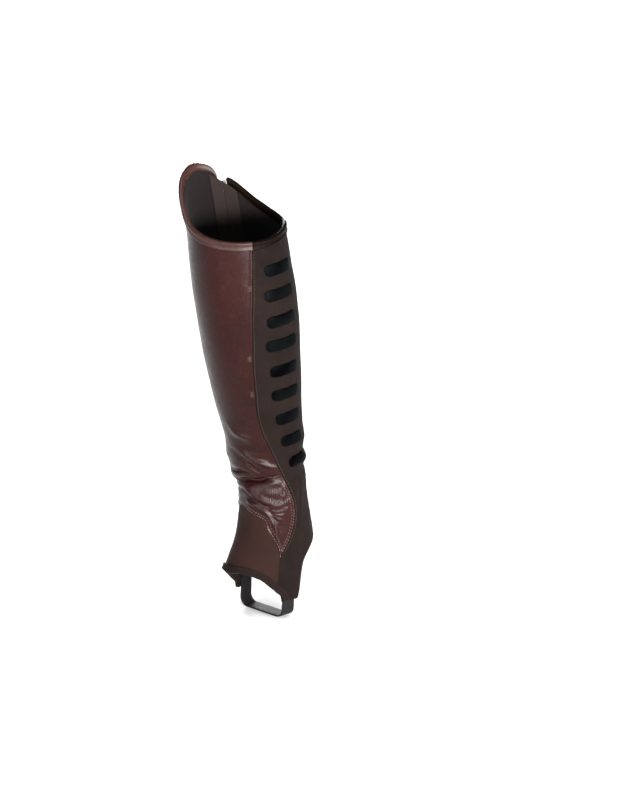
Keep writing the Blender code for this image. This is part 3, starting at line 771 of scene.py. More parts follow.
def silicone_finish(name, dark, light):
    f = Finish(name)
    cloud = f.noise(18, 4, 0.6)
    colour = f.blend(f.span(cloud, 0.4, 0.66), dark, light)
    f.bump(f.noise(420, 3, 0.5), 0.00012, 0.5)
    f.bump(f.cells(700), 0.00004, 0.4)
    return f.finish(colour, f.span(cloud, 0.3, 0.7, 0.3, 0.45), Specular_IOR_Level=0.012)


def thread_finish(name, dark, light):
    f = Finish(name)
    strands = f.wave(900, "DIAGONAL", f.place, 0.6)
    colour = f.blend(f.span(strands, 0.1, 0.9), dark, light)
    colour = f.blend(f.span(f.noise(130, 3, 0.5), 0.4, 0.6, 0.0, 0.35), colour, dark)
    f.bump(strands, 0.00008, 0.6)
    return f.finish(colour, 0.5, Specular_IOR_Level=0.4)


def metal_finish(name, dark, light):
    """Black lacquered zinc, rubbed to grey where it catches."""
    f = Finish(name)
    worn = f.span(f.noise(520, 5, 0.65), 0.55, 0.72)
    colour = f.blend(worn, dark, light)
    f.bump(f.noise(900, 3, 0.5), 0.00003, 0.5)
    return f.finish(colour, f.span(worn, 0, 1, 0.3, 0.42), Metallic=0.85)


def cord_finish(name, dark, light):
    f = Finish(name)
    cloud = f.noise(400, 3, 0.5)
    colour = f.blend(f.span(cloud, 0.35, 0.65), dark, light)
    f.bump(f.noise(1500, 2, 0.5), 0.00003, 0.5)
    return f.finish(colour, f.span(cloud, 0.3, 0.7, 0.32, 0.48), Specular_IOR_Level=0.45)


LEATHER_FINISH = leather_finish("leather", (21, 4, 3), (30, 9, 7), (32, 4, 3))
BINDING_FINISH = leather_finish("binding_leather", (29, 13, 10), (45, 25, 21), (41, 15, 11), 0.36, 0.2)
DARK_BINDING_FINISH = leather_finish("dark_binding_leather", (6, 2, 0), (11, 5, 2), (9, 3, 1), 0.45, 0.03)
INNER_FINISH = suede_finish("grip_cloth", (10, 5, 4), (20, 12, 10), 0.01)
LINING_FINISH = suede_finish("lining", (11, 8, 8), (18, 14, 13), 0.05)
INSTEP_FINISH = stretch_finish("stretch_cloth", (24, 9, 6), (33, 16, 12))
HEM_FINISH = ribbed_finish("hem_binding", (10, 5, 3), (24, 14, 11), 1.1, "X")
ELASTIC_FINISH = ribbed_finish("elastic", (12, 11, 12), (30, 27, 28), 1.2, "X")
TAPE_FINISH = ribbed_finish("zip_tape", (20, 15, 14), (38, 30, 28), 0.8, "Y", 0.0001)
SILICONE_FINISH = silicone_finish("silicone", (0, 0, 1), (5, 7, 7))
THREAD_FINISH = thread_finish("thread", (72, 52, 47), (122, 100, 94))
BROWN_THREAD_FINISH = thread_finish("brown_thread", (58, 40, 36), (96, 74, 68))
DARK_THREAD_FINISH = thread_finish("dark_thread", (30, 22, 20), (62, 48, 43))
TEETH_FINISH = cord_finish("zip_teeth", (16, 13, 13), (34, 29, 28))
METAL_FINISH = metal_finish("dark_metal", (18, 17, 18), (92, 88, 86))
CORD_FINISH = cord_finish("pull_cord", (6, 6, 7), (20, 20, 22))


# Panels


def spread(*zones):
    """Values through zones of (start, end, step), each start once."""
    parts = [np.linspace(a, b, max(1, round((b - a) / step)), endpoint=False) for a, b, step in zones]
    return np.append(np.concatenate(parts), zones[-1][1])


def graded(fine, zone):
    """Shares from 0 to 1 that stand close together at both ends."""
    fine = np.array(fine)
    return np.concatenate((fine, spread(zone), 1 - fine[::-1]))


def panel_grid(stations, low, skirt, body, left, right):
    """Angles and heights of a panel's grid; its columns lean with its two side edges."""
    skirt, body = skirt[:, None], body[:, None]

    def heights(low_at, angle_above):
        below = low_at + (SPLIT - low_at) * skirt
        return np.concatenate((below, SPLIT + (rim_edge(angle_above) - SPLIT) * body))

    share = (stations - stations[0]) / (stations[-1] - stations[0])
    left_angle = left(heights(low[:1], stations[:1]))
    right_angle = right(heights(low[-1:], stations[-1:]))
    angle = left_angle + (right_angle - left_angle) * share
    return angle, heights(low, angle[len(skirt):])


def skirt_rows(last, step):
    return np.concatenate(((0, 0.002, 0.006, 0.012), spread((0.025, last, step))))


def body_rows(fold_step, upper_step):
    span = RIM_LOW - SPLIT
    folds = spread((0, FOLD_SPAN, fold_step), (FOLD_SPAN, span - 1.2, upper_step))
    return np.concatenate((folds, span - np.array((0.6, 0.2, 0)))) / span


def medial_edge(height):
    return beside_seam(height, -SEAM_GAP / 2)


def outer_low():
    """The leather's lower edge from the zip to the V's tip, as rows of (angle, height)."""
    first = float(beside_zip(LEATHER_LOW_AT_ZIP, ZIP_HALF_GAP))
    return [(first, LEATHER_LOW_AT_ZIP), *LEATHER_LOW, (float(medial_edge(TIP_HEIGHT)), TIP_HEIGHT)]


def inner_low():
    """The inner panel's lower edge from the seam to the zip."""
    first = float(beside_seam(INNER_LOW_AT_SEAM, SEAM_GAP / 2))
    last = float(beside_zip(INNER_LOW_AT_ZIP, -ZIP_HALF_GAP)) + 360
    return [(first, INNER_LOW_AT_SEAM), *INNER_LOW, (last, INNER_LOW_AT_ZIP)]


def edge_roll(angle, height):
    """The leather's turned edge along the medial seam."""
    reach = (medial_edge(height) - angle) * mm_per_degree(angle, height)
    rolled = soft_step((ROLL_WIDTH - reach) / ROLL_RAMP)
    return ROLL_RISE * rolled * soft_step((height - ROLL_LOW) / ROLL_FADE)


def make_outer_panel():
    rows = outer_low()
    first, last = rows[0][0], rows[-1][0]
    stations = spread((first, first + 0.9, 0.3), (first + 0.9, first + 8, 0.9), (first + 8, -97, 2.4),
                      (-97, -71, 0.9), (-71, -30, 2.0), (-30, 20, 1.4), (20, 26, 0.8), (26, 57, 0.44),
                      (57, last - 1.2, 0.7), (last - 1.2, last, 0.3))
    low = steady(rows, stations)
    angle, height = panel_grid(stations, low, skirt_rows(0.985, 0.022), body_rows(1.1, 3.1),
                               lambda h: beside_zip(h, ZIP_HALF_GAP), medial_edge)
    outer = edge_roll(angle, height) + puckers(angle, height)
    piece = shell("leather_panel", angle, height, outer, -LEATHER, LEATHER_FINISH, LINING_FINISH, 0.8)
    settle(piece, "chap", "leather", "outer_panel")


def make_inner_panel():
    rows = inner_low()
    first, last = rows[0][0], rows[-1][0]
    stations = spread((first, first + 0.9, 0.3), (first + 0.9, 97, 0.9), (97, last - 8, 1.7),
                      (last - 8, last - 0.9, 0.9), (last - 0.9, last, 0.3))
    low = steady(rows, stations)
    angle, height = panel_grid(stations, low, skirt_rows(0.97, 0.04), body_rows(1.6, 3.6),
                               lambda h: beside_seam(h, SEAM_GAP / 2),
                               lambda h: beside_zip(h, -ZIP_HALF_GAP) + 360)
    piece = shell("grip_cloth_panel", angle, height, -0.15, -STRETCH, INNER_FINISH, LINING_FINISH, 0.5)
    settle(piece, "chap", "grip_cloth", "inner_panel")


def make_instep_panel():
    """The stretch panel between the leather's lower edge and the hem."""
    first, last = -69.6, float(beside_seam(TIP_HEIGHT, -SEAM_GAP / 4))
    top_angle = spread((first, -55, 1.2), (-55, 20, 1.6), (20, last - 0.8, 1.0), (last - 0.8, last, 0.3))
    top = steady(outer_low(), top_angle) + TUCK + TIP_TUCK * np.exp(top_angle - last)
    low_first, low_last = first + 0.5, float(medial_edge(INNER_LOW_AT_SEAM))
    low_angle = low_first + (low_last - low_first) * (top_angle - first) / (last - first)
    low = smooth(HEM, low_angle)
    share = graded((0, 0.004, 0.01, 0.02), (0.04, 0.96, 0.025))[:, None]
    height = low + (top - low) * share
    angle = low_angle + (top_angle - low_angle) * share
    angle[:, -1] = medial_edge(height[:, -1])
    piece = shell("instep_cloth_panel", angle, height, -0.35, -STRETCH, INSTEP_FINISH, LINING_FINISH, 0.45)
    settle(piece, "chap", "stretch_cloth", "instep_panel")


# Bindings


def binding_profile(depth, cloth, near, puff):
    """A folded strip's section as (out, into) points: round the outside, then back inside."""
    far = near + BINDING_THICK
    back = -cloth - far
    outside = [(far - 0.55, depth), (far + puff * 0.2, depth - 0.15), (far + puff * 0.8, depth - 0.7),
               (far + puff * 0.9, depth - 1.4), (far - puff * 0.3, depth - 2.3),
               (far - puff * 0.5, depth * 0.5), (far - puff * 0.1, depth * 0.28),
               (far + puff, depth * 0.06), (far + puff * 0.7, -far * 0.45), (far * 0.45, -far * 0.98)]
    inside = [(back + 0.35, -far * 0.85), (back, -far * 0.2), (back - 0.1, depth * 0.4),
              (back, depth - 0.3), (back + 0.5, depth)]
    facing = [(-cloth - near, depth - 0.2), (-cloth - near, -near), (near, -near), (near, depth - 0.2)]
    return outside + inside + facing


def edge_frames(spots, into_at):
    """Directions outward and into the cloth along an edge."""
    angle, height = spots.T
    out = outward(angle, height)
    if into_at == "down":
        return out, -unit(form_slopes(angle, height)[1])
    run = np.gradient(form(angle, height), axis=0)
    return out, unit(np.cross(out, run))


def make_binding(name, node, slot, finish, spots, into_at, depth, cloth, near, puff=0.35):
    angle, height = spots.T
    out, into = edge_frames(spots, into_at)
    base, lift = form(angle, height), relief(angle, height)
    along = run_length(base)
    profile = np.array(binding_profile(depth, cloth, near, puff))
    swell = BINDING_WAVE * np.sin(along * 1.05 + 0.7 * np.sin(along * 0.31))
    sections = np.empty((len(spots), len(profile), 3))
    for k, (a, b) in enumerate(profile):
        bulge = swell if 3 <= k <= 8 else 0
        sections[:, k] = placed(base + out * (a + lift + bulge)[:, None] + into * b)
    uv = np.stack(np.broadcast_arrays(along[:, None], run_length(profile)), axis=-1) * MM
    piece = sweep(name, sections, finish, uv)
    settle(piece, "chap", slot, node)


def rim_line(first, last, step):
    angle = spread((first, last, step))
    return np.stack((angle, rim_edge(angle)), axis=-1)


def rim_ends():
    """The rim's angles at both edges of the outer panel and of the inner panel."""
    at_zip, at_seam = rim_height(ZIP_ANGLE), rim_height(SEAM[-1][1])
    return (float(beside_zip(at_zip, ZIP_HALF_GAP)), float(medial_edge(at_seam)),
            float(beside_seam(at_seam, SEAM_GAP / 2)), float(beside_zip(at_zip, -ZIP_HALF_GAP)) + 360)


def hem_line():
    """The hem from the lateral tongue round the instep to the medial tongue."""
    lateral = [(a, h) for a, h in LEATHER_LOW if -75 <= a <= -70]
    angle = spread((-68.5, 65.5, 1.5))
    medial = [inner_low()[0], *[spot for spot in INNER_LOW if spot[0] < 75]]
    spots = [*lateral, *zip(angle, smooth(HEM, angle)), *medial]
    rows = [(k, *spot) for k, spot in enumerate(spots)]
    at = np.linspace(0, len(spots) - 1, 2 * len(spots))
    return np.stack((steady(rows, at, 1), steady(rows, at, 2)), axis=-1)


def make_bindings():
    zip_front, front, back, zip_back = rim_ends()
    make_binding("rim_binding_leather", "top_binding_outer", "top_binding", BINDING_FINISH,
                 rim_line(zip_front, front, 1.1), "down", 7.5, LEATHER, RIM_BINDING_NEAR)
    make_binding("rim_binding_inner", "top_binding_inner", "inner_binding", DARK_BINDING_FINISH,
                 rim_line(back, zip_back, 1.1), "down", 7.5, STRETCH, RIM_BINDING_NEAR)
    make_binding("hem_binding_ribbed", "hem_binding", "hem_binding", HEM_FINISH,
                 hem_line(), "square", 6.0, LEATHER, HEM_BINDING_NEAR, 0.25)


# Things laid on the panels


def laid_on(name, angle, height, thick, finish, round_edge, crown):
    """A flat thing on a panel, as two grids, with a crown in its middle."""
    reach = edge_distance(angle, height)
    rise = crown * (1 - np.exp(-(reach / (0.45 * reach.max())) ** 2))
    return shell(name, angle, height, LAID_ON + thick + rise, LAID_ON, finish, finish, round_edge)


def make_grip_bar(number, level, front, rear):
    length = abs(rear - front) * float(mm_per_degree((front + rear) / 2, level))
    rounded = np.array((0, 0.015, 0.05, 0.11, 0.2, 0.33, 0.5, 0.72, 1.0)) * BAR_HALF_HEIGHT
    x = np.concatenate((rounded, spread((BAR_HALF_HEIGHT, length - BAR_HALF_HEIGHT, 1.5))[1:-1],
                        (length - rounded)[::-1]))
    inset = np.maximum(0, np.maximum(BAR_HALF_HEIGHT - x, x - length + BAR_HALF_HEIGHT)) / BAR_HALF_HEIGHT
    half = BAR_HALF_HEIGHT * (1 - BAR_CORNER + BAR_CORNER * np.sqrt(np.maximum(0, 1 - inset ** 2)))
    across = np.array((-1, -0.97, -0.92, -0.84, -0.6, -0.3, 0, 0.3, 0.6, 0.84, 0.92, 0.97, 1))[:, None]
    share = x / length
    wobble = BAR_WOBBLE * np.sin(3.1 * x / BAR_HALF_HEIGHT + number)
    height = level + BAR_RISE * share + half * across + wobble
    angle = np.broadcast_to(front + (rear - front) * share, height.shape)
    piece = laid_on(f"silicone_bar_{number}", angle, height, 0.75, SILICONE_FINISH, 0.55, 0.3)
    settle(piece, "chap", "silicone", f"grip_bar_{number}")


def patch_grid(rows, across):
    """Angles and heights of the patch at shares of its height and of its width."""
    front, rear = smooth(PATCH, rows, 1), smooth(PATCH, rows, 2)
    angle = front + (rear - front) * across
    return angle, PATCH_LOW + (rim_height(angle) - PATCH_BELOW_RIM - PATCH_LOW) * rows


def make_patch():
    rows = np.concatenate(((0, 0.004, 0.012, 0.025), spread((0.05, 0.97, 0.03)), (0.985, 0.994, 1)))
    across = graded((0, 0.006, 0.016, 0.035), (0.07, 0.93, 0.035))
    angle, height = patch_grid(rows[:, None] ** PATCH_GRADE, across)
    piece = laid_on("rim_patch", angle, height, 1.0, LEATHER_FINISH, 0.8, 0.5)
    settle(piece, "chap", "leather", "top_patch")


# Stitching


def stitch_points(spots, out, pitch=3.0, length=2.1, radius=0.27):
    """Rings of small stitches laid along a line of (angle, height) spots."""
    angle, height = spots.T
    normal = outward(angle, height)
    points = form(angle, height) + normal * (out + relief(angle, height))[:, None]
    along = run_length(points)
    centres = np.arange(pitch * 0.6, along[-1] - pitch * 0.4, pitch)
    # share of the length, share of the radius, rise
    profile = ((-0.5, 0.45, -0.2), (-0.3, 0.95, 0.05), (0.3, 0.95, 0.05), (0.5, 0.45, -0.2))
    ring = circle(STITCH_SIDES)

    def read(values, at):
        return np.stack([np.interp(at, along, column) for column in values.T], axis=-1)

    rings = np.empty((len(centres), len(profile), len(ring), 3))
    for k, (share, size, rise) in enumerate(profile):
        at = centres + share * length
        middle, up = read(points, at), unit(read(normal, at))
        side = unit(np.cross(unit(read(points, at + 0.4) - read(points, at - 0.4)), up))
        for s, (x, y) in enumerate(ring * radius * size):
            rings[:, k, s] = middle + up * (rise + y) + side * x
    return placed(rings)


def stitch_mesh(name, batches, finish, slot):
    """One piece from several batches of stitch rings."""
    rings = np.concatenate(batches)
    faces = []
    for index in np.arange(rings[..., 0].size).reshape(rings.shape[:3]):
        faces += tube_faces(index)
    piece = mesh_piece(name, rings, faces, [finish])
    face_out(piece)
    return settle(piece, "chap", slot)


def edge_line(first, last):
    angle = spread((first, last, 0.8))
    return np.stack((angle, steady(outer_low(), angle)), axis=-1)


def inset_line(spots, distance):
    """A line moved to the left of its run by a real distance, on the form."""
    run = np.gradient(spots, axis=0)
    scale = np.stack([np.linalg.norm(slope, axis=1) for slope in form_slopes(*spots.T)], axis=-1)
    x, y = (run * scale).T
    kernel = np.ones(5) / 5
    left = [np.convolve(np.pad(part / np.hypot(x, y), 2, mode="edge"), kernel, "valid") for part in (-y, x)]
    return spots + np.stack(left, axis=-1) * distance / scale


def upright(angle_at, low, high, step=2.0):
    height = spread((low, high, step))
    return np.stack((np.broadcast_to(angle_at(height), height.shape), height), axis=-1)


def tack(height):
    """One short bar of thread across the rolled edge."""
    angle = beside_seam(height, np.linspace(-6.3, -0.3, 7))
    spots = np.stack((angle, np.full(len(angle), float(height))), axis=-1)
    return stitch_points(spots, ROLL_RISE * 0.9, 5.5, 4.4, 0.22)


def make_v_stitches():
    """Double rows along the V and along the seam above its tip."""
    seam = upright(seam_angle, TIP_HEIGHT + 3.5, 166, 1.5)
    lines = ((edge_line(-72, 62.6), 1.6), (edge_line(-72, 62.6), 4.2), (seam, 1.7), (seam, 4.3))
    rows = [stitch_points(inset_line(line, distance), 0.1, 3.3, 1.7, 0.22) for line, distance in lines]
    stitch_mesh("stitches_v", rows, THREAD_FINISH, "leather")


def make_leather_stitches():
    """Rows beside the tongue, the zip and the patch, and the bar tacks."""
    zip_front = upright(lambda h: beside_zip(h, ZIP_HALF_GAP + ZIP_STITCH), 92, 474)
    share = spread((0.0, 0.98, 0.02)) ** PATCH_GRADE
    front, rear = [np.stack(patch_grid(share, side), axis=-1) for side in (0, 1)]
    around = np.concatenate((rear[::-1], front[1:]))
    rows = [
        stitch_points(inset_line(edge_line(-118, -89.5), 1.8), 0.1),
        stitch_points(zip_front, 0.1),
        stitch_points(inset_line(around, 2.0), LAID_ON + 1.1, 2.6, 1.8),
        *[tack(level + bar * TACK_PITCH) for level in TACK_HEIGHTS for bar in range(TACK_BARS)],
    ]
    stitch_mesh("stitches_leather", rows, BROWN_THREAD_FINISH, "leather")


def make_inner_stitches():
    low = [spot for spot in INNER_LOW if spot[0] >= 88]
    angle = spread((90, 221, 1.0))
    edge = np.stack((angle, steady(low, angle)), axis=-1)
    zip_back = upright(lambda h: beside_zip(h, -ZIP_HALF_GAP - ZIP_STITCH) + 360, 92, 466)
    seam = upright(lambda h: beside_seam(h, 1.8), TIP_HEIGHT + 4, 422, 2.5)
    rows = [
        stitch_points(inset_line(edge, 1.8), -0.05),
        stitch_points(zip_back, -0.05),
        stitch_points(seam, -0.05, 3.0, 2.0, 0.22),
    ]
    stitch_mesh("stitches_inner", rows, DARK_THREAD_FINISH, "grip_cloth")


def make_binding_stitches():
    zip_front, front, back, zip_back = rim_ends()
    for name, first, last, finish, slot in (
            ("stitches_rim", zip_front + 1.5, front - 0.5, THREAD_FINISH, "top_binding"),
            ("stitches_rim_inner", back + 0.5, zip_back - 1.5, DARK_THREAD_FINISH, "inner_binding")):
        spots = rim_line(first, last, 1.0) - (0, 6.2)
        rings = stitch_points(spots, RIM_BINDING_NEAR + BINDING_THICK - 0.12, 2.6, 1.8, 0.25)
        stitch_mesh(name, [rings], finish, slot)
    spots = inset_line(hem_line(), 4.6)[3:-2]
    rings = stitch_points(spots, HEM_BINDING_NEAR + BINDING_THICK - 0.15, 2.6, 1.8, 0.24)
    stitch_mesh("stitches_hem", [rings], DARK_THREAD_FINISH, "hem_binding")


# Zip


def make_tape(side, sign):
    across = np.sort(np.array((0.03, 0.4, 1.6, 3.4, ZIP_HALF_GAP, 9, 12, 13.6, TAPE_HALF_WIDTH)) * sign)
    tops = rim_height(beside_zip(rim_height(ZIP_ANGLE), across)) - TAPE_BELOW_RIM
    share = graded((0, 0.001, 0.003), (0.008, 0.992, 0.008))[:, None]
    height = ZIP_LOW + (tops - ZIP_LOW) * share
    angle = beside_zip(height, across)
    piece = shell(f"zip_tape_{side}_woven", angle, height, -2.55, -3.25, TAPE_FINISH, TAPE_FINISH, 0.3)
    settle(piece, "chap", "zip_tape", f"zip_tape_{side}")


def slider_frame():
    """The slider's middle, and its directions across the zip, up it and outward."""
    height = float(rim_height(ZIP_ANGLE)) - SLIDER_BELOW_RIM - SLIDER_LENGTH / 2
    up, out = form_slopes(ZIP_ANGLE, height)[1], outward(ZIP_ANGLE, height)
    up = unit(up - out * np.dot(up, out))
    return form(ZIP_ANGLE, height), np.cross(up, out), up, out


def at_slider(across, up_zip, out):
    middle, side, up, outside = slider_frame()
    return placed(middle + side * across + up * up_zip + outside * out)


def make_teeth():
    """Two rows of nylon coils that mesh in the middle of the tapes."""
    low = ZIP_LOW + 8.6
    high = float(rim_height(ZIP_ANGLE)) - SLIDER_BELOW_RIM - SLIDER_LENGTH - 0.8
    # across, share of the radius, out
    profile = ((-2.7, 0.3, -1.7), (-2.3, 0.85, -1.2), (-0.9, 1.0, -0.95),
               (0.35, 1.0, -0.9), (0.75, 0.4, -1.05))
    ring = circle(STITCH_SIDES)
    batches = []
    for mirror, shift in ((1, 0), (-1, COIL_PITCH / 2)):
        levels = np.arange(low + shift, high, COIL_PITCH)
        rings = np.empty((len(levels), len(profile), len(ring), 3))
        for k, (across, size, out) in enumerate(profile):
            angle = beside_zip(levels, across * mirror)
            normal, up = outward(angle, levels), unit(form_slopes(angle, levels)[1])
            middle = form(angle, levels) + normal * (out + relief(angle, levels) * 0.4)[:, None]
            for s, (x, y) in enumerate(ring * COIL_RADIUS * size):
                rings[:, k, s] = middle + normal * y + up * x
        batches.append(placed(rings))
    piece = stitch_mesh("zip_coils", batches, TEETH_FINISH, "zip_teeth")
    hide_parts("zip_chain")


def lofted(name, sections, bevel=0.0):
    """A bar of dark metal with softened edges."""
    piece = sweep(name, np.array(sections), METAL_FINISH)
    if bevel:
        soften = piece.modifiers.new("soften", "BEVEL")
        soften.width = bevel * MM
        soften.segments = 3
        soften.limit_method = "ANGLE"
        soften.angle_limit = math.radians(25)
        applied = piece.evaluated_get(bpy.context.evaluated_depsgraph_get())
        mesh = bpy.data.meshes.new_from_object(applied)
        piece.modifiers.clear()
        piece.data = mesh
        piece.data.shade_smooth()
    return piece


def joined(name, pieces):
    bm = bmesh.new()
    for piece in pieces:
        bm.from_mesh(piece.data)
    mesh = bpy.data.meshes.new(name)
    bm.to_mesh(mesh)
    bm.free()
    mesh.materials.append(METAL_FINISH)
    mesh.shade_smooth()
    for piece in pieces:
        bpy.data.objects.remove(piece)
    return linked(name, mesh)


def mirrored(points):
    """The points of one side met again on the other side, in reverse order."""
    return [(-x, y) for x, y in reversed(points)]


def slider_plate(name, outline, low, high, bevel):
    return lofted(name, [[at_slider(x, y, out) for x, y in outline] for out in (low, high)], bevel)


def make_bail():
    """The arch on the slider that holds the pull."""
    side = ((-3.3, 0.3), (-3.25, 2.6), (-2.95, 3.8), (-2.2, 4.7), (-1.1, 5.1))
    arch = np.array([*side, (0, 5.15), *mirrored(side)])
    sections = []
    for k, (y, out) in enumerate(arch):
        along_y, along_out = unit(arch[min(k + 1, len(arch) - 1)] - arch[max(k - 1, 0)])
        sections.append([at_slider(x, y - along_out * lift, out + along_y * lift)
                         for x, lift in circle(10) * (1.15, 0.42)])
    return lofted("bail", sections)


def make_slider():
    half, wide = SLIDER_LENGTH / 2, 4.1
    side = ((wide * 0.72, -half), (wide * 0.92, -half * 0.2), (wide, half * 0.3), (wide, half), (0.8, half))
    outline = [*side, (0, half * 0.78), *mirrored(side)]
    smaller = [(x * 0.97, y * 0.98) for x, y in outline]
    wedge = ((-1, -1), (1, -1), (1.2, half * 0.6), (0, half * 0.7), (-1.2, half * 0.6))
    parts = [
        slider_plate("plate", outline, -0.25, 0.6, 0.3),
        slider_plate("base", smaller, -2.15, -1.5, 0.2),
        slider_plate("post", wedge, -1.6, -0.1, 0.1),
        make_bail(),
    ]
    settle(joined("zip_slider_body", parts), "chap", "dark_metal", "zip_slider")


def make_zip_box():
    """The moulded box at the zip's lower end, with two raised bands."""
    parts = []
    for low, high, half, top in ((0.2, 7.8, 3.9, 0.4), (1.4, 2.2, 4.0, 0.6), (5.6, 6.4, 4.0, 0.6)):
        side = ((0.9 - half, top), (-half, top - 0.5), (-half, -2.1))
        across, out = np.array([*side, *mirrored(side)]).T
        sections = []
        for level in (ZIP_LOW + low, ZIP_LOW + high):
            angle = beside_zip(level, across)
            sections.append(placed(form(angle, level) + outward(angle, level) * out[:, None]))
        parts.append(lofted("box", sections, 0.22))
    settle(joined("zip_end_box", parts), "chap", "dark_metal", "zip_box")


def make_pull():
    """A loop of cord through the bail."""
    straight = PULL_LENGTH - CORD_RADIUS * 2
    top, end = PULL_HALF_WIDTHS
    side = [(top - 1.1, 0), (top - 0.25, -0.3), (top, -1.1), (top, -straight * 0.25),
            (top + 0.1, -straight * 0.55), (end, -straight + end)]
    turns = np.pi * np.arange(1, 12) / 12
    arc = zip(end * np.cos(turns), -straight + end * (1 - np.sin(turns)))
    corners = [(0, 0.12), *side, *arc, *mirrored(side)]
    path = np.array([at_slider(x, y, PULL_OUT + PULL_LEAN * y / straight) for x, y in corners])
    run = unit(np.roll(path, -1, axis=0) - np.roll(path, 1, axis=0))
    across = unit(np.cross(run, slider_frame()[3]))
    lift = unit(np.cross(across, run))
    swell = 1 + 0.05 * np.cos(8 * np.pi * np.arange(CORD_SIDES) / CORD_SIDES)
    ring = circle(CORD_SIDES) * swell[:, None] * CORD_RADIUS * MM
    points = path[:, None] + across[:, None] * ring[:, :1] + lift[:, None] * ring[:, 1:]
    index = np.arange(len(path) * CORD_SIDES).reshape(-1, CORD_SIDES)
    after = np.roll(index, -1, axis=1)
    faces = np.stack((index, after, np.roll(after, -1, axis=0), np.roll(index, -1, axis=0)), axis=-1)
    loop = mesh_piece("zip_pull_loop", points, faces.reshape(-1, 4).tolist(), [CORD_FINISH])
    face_out(loop)
    settle(loop, "pull", "pull_cord", "zip_pull")


# Strap


def strap_line(angle, out, sign):
    """One side of the strap's line, from the tongue down to the middle of the sole."""
    heights = np.array((48, 45, 42, 39, 36, 33.5, 31, 28, 25, 21.0))
    points = form(sign * angle, heights) + outward(sign * angle, heights) * out
    x, y, z = points[-1]
    radius = SOLE_RADIUS + out - STRAP_OUT
    turns = np.pi / 16 * np.arange(1, 9)
    bend = [(x - sign * radius * (1 - math.cos(turn)), y, z - radius * math.sin(turn)) for turn in turns]
    flat = [(across, y, bend[-1][2]) for across in np.linspace(bend[-1][0], 0, 6)[1:]]
    return np.concatenate((points, bend, flat))


def make_strap():
    angles = np.array((75.5, 75.7, 76.2, 77.5, 79.5, 81.4, 83.5, 85.4, 86.6, 87.1, 87.3))
    across = angles * STRAP_MM_PER_DEGREE
    drop = rounding(np.minimum(across - across[0], across[-1] - across), STRAP_EDGE)
    outside = zip(angles, STRAP_OUT - drop)
    inside = zip(angles[::-1], STRAP_OUT - STRAP_THICK + drop[::-1])
    loops = []
    for angle, out in (*outside, *inside):
        medial, lateral = strap_line(angle, out, 1), strap_line(angle, out, -1)
        loops.append(np.concatenate((medial, lateral[-2::-1])))
    loops = np.array(loops).transpose(1, 0, 2)
    along = run_length(loops[:, 5])
    uv = np.stack(np.broadcast_arrays(along[:, None], np.concatenate((across, across[::-1]))), axis=-1) * MM
    piece = sweep("underfoot_elastic", placed(loops), ELASTIC_FINISH, uv)
    settle(piece, "chap", "elastic", "underfoot_strap")


# Stage, lights and camera

CAMERA_TURN = 45
CAMERA_RISE = 16
CAMERA_DISTANCE = 3.6
LENS = 154.3
SENSOR = 36
METRES_PER_PIXEL = 0.00105
PICTURE_MIDDLE = (317, 400)
AIM = (0, 0.021, -0.112)
AIM_PIXEL = (259, 397)

LIGHT_AIM = (0, 0, -0.1)
WORLD_STRENGTH = 0.21
# Turn, rise, apparent width and strength of the overhead light
SUN = (20, 72, 35, 2.3)
SOFTBOXES = (
    # name, turn, rise, width, height, power, distance
    ("left", 14, 2, 1.5, 0.5, 48, 2.6),
    ("front", 66, 2, 0.9, 0.5, 120, 2.6),
    ("right", 90, 2, 0.8, 0.5, 125, 2.6),
    ("far_left", -46, 14, 0.5, 0.6, 4, 2.6),
    # past the floor that the picture shows
    ("behind", 230, 6, 2.7, 1.5, 1000, 7.0),
)
FLOOR_HALF = 30.0
FLOOR_GAP = 0.0004


def view_axes(turn, rise):
    a, e = math.radians(turn), math.radians(rise)
    back = Vector((math.sin(a) * math.cos(e), -math.cos(a) * math.cos(e), math.sin(e)))
    right = Vector((math.cos(a), math.sin(a), 0))
    return right, back.cross(right), back


def stand(thing, place, axes):
    thing.matrix_world = Matrix.Translation(place) @ Matrix(axes).transposed().to_4x4()


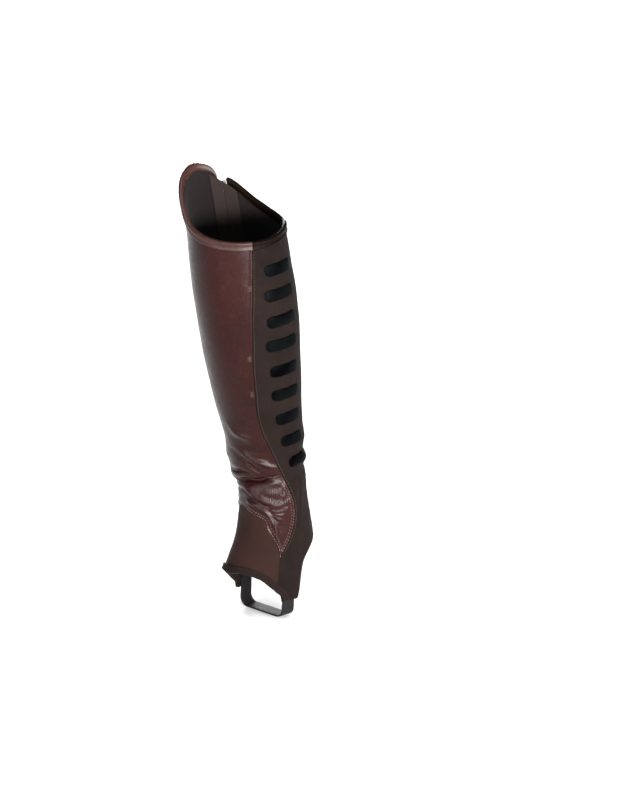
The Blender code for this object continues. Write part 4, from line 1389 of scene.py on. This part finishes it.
def make_camera():
    right, up, back = view_axes(CAMERA_TURN, CAMERA_RISE)
    aside, above = [(a - b) * METRES_PER_PIXEL for a, b in zip(AIM_PIXEL, PICTURE_MIDDLE)]
    data = bpy.data.cameras.new("camera")
    data.lens = LENS
    data.sensor_width = SENSOR
    data.clip_end = 50
    camera = linked("camera", data)
    stand(camera, Vector(AIM) + back * CAMERA_DISTANCE - right * aside + up * above, (right, up, back))
    bpy.context.scene.camera = camera


def place_light(data, turn, rise, distance=0.0):
    axes = view_axes(turn, rise)
    lamp = linked(data.name, data)
    stand(lamp, Vector(LIGHT_AIM) + axes[2] * distance, axes)
    lamp.visible_camera = False


def make_sun(turn, rise, width, strength):
    data = bpy.data.lights.new("overhead", "SUN")
    data.angle = math.radians(width)
    data.energy = strength
    place_light(data, turn, rise)


def make_softbox(name, turn, rise, width, height, power, distance):
    data = bpy.data.lights.new(name, "AREA")
    data.shape = "RECTANGLE"
    data.size, data.size_y = width, height
    data.energy = power
    place_light(data, turn, rise, distance)


def make_stage():
    f = Finish("stage")
    f.finish(f.blend(f.noise(3, 2, 0.5), (251, 251, 251), (254, 254, 254)), 0.9, Specular_IOR_Level=0.1)
    level = CAD_BOX[0][2] - FLOOR_GAP
    points = [(x * FLOOR_HALF, y * FLOOR_HALF, level) for x, y in ((-1, -1), (1, -1), (1, 1), (-1, 1))]
    floor = mesh_piece("floor", points, [(0, 1, 2, 3)], [f.made])
    world = bpy.data.worlds.new("studio")
    world.use_nodes = True
    background = world.node_tree.nodes["Background"].inputs
    background["Color"].default_value = (1, 1, 1, 1)
    background["Strength"].default_value = WORLD_STRENGTH
    bpy.context.scene.world = world
    make_sun(*SUN)
    for row in SOFTBOXES:
        make_softbox(*row)
    bpy.context.scene.view_settings.view_transform = "Standard"


make_camera()
make_stage()
make_outer_panel()
make_inner_panel()
make_instep_panel()
make_bindings()
for number, row in enumerate(GRIP_BARS, 1):
    make_grip_bar(number, *row)
make_patch()
make_v_stitches()
make_leather_stitches()
make_inner_stitches()
make_binding_stitches()
make_tape("front", 1)
make_tape("back", -1)
make_teeth()
make_slider()
make_zip_box()
make_pull()
make_strap()
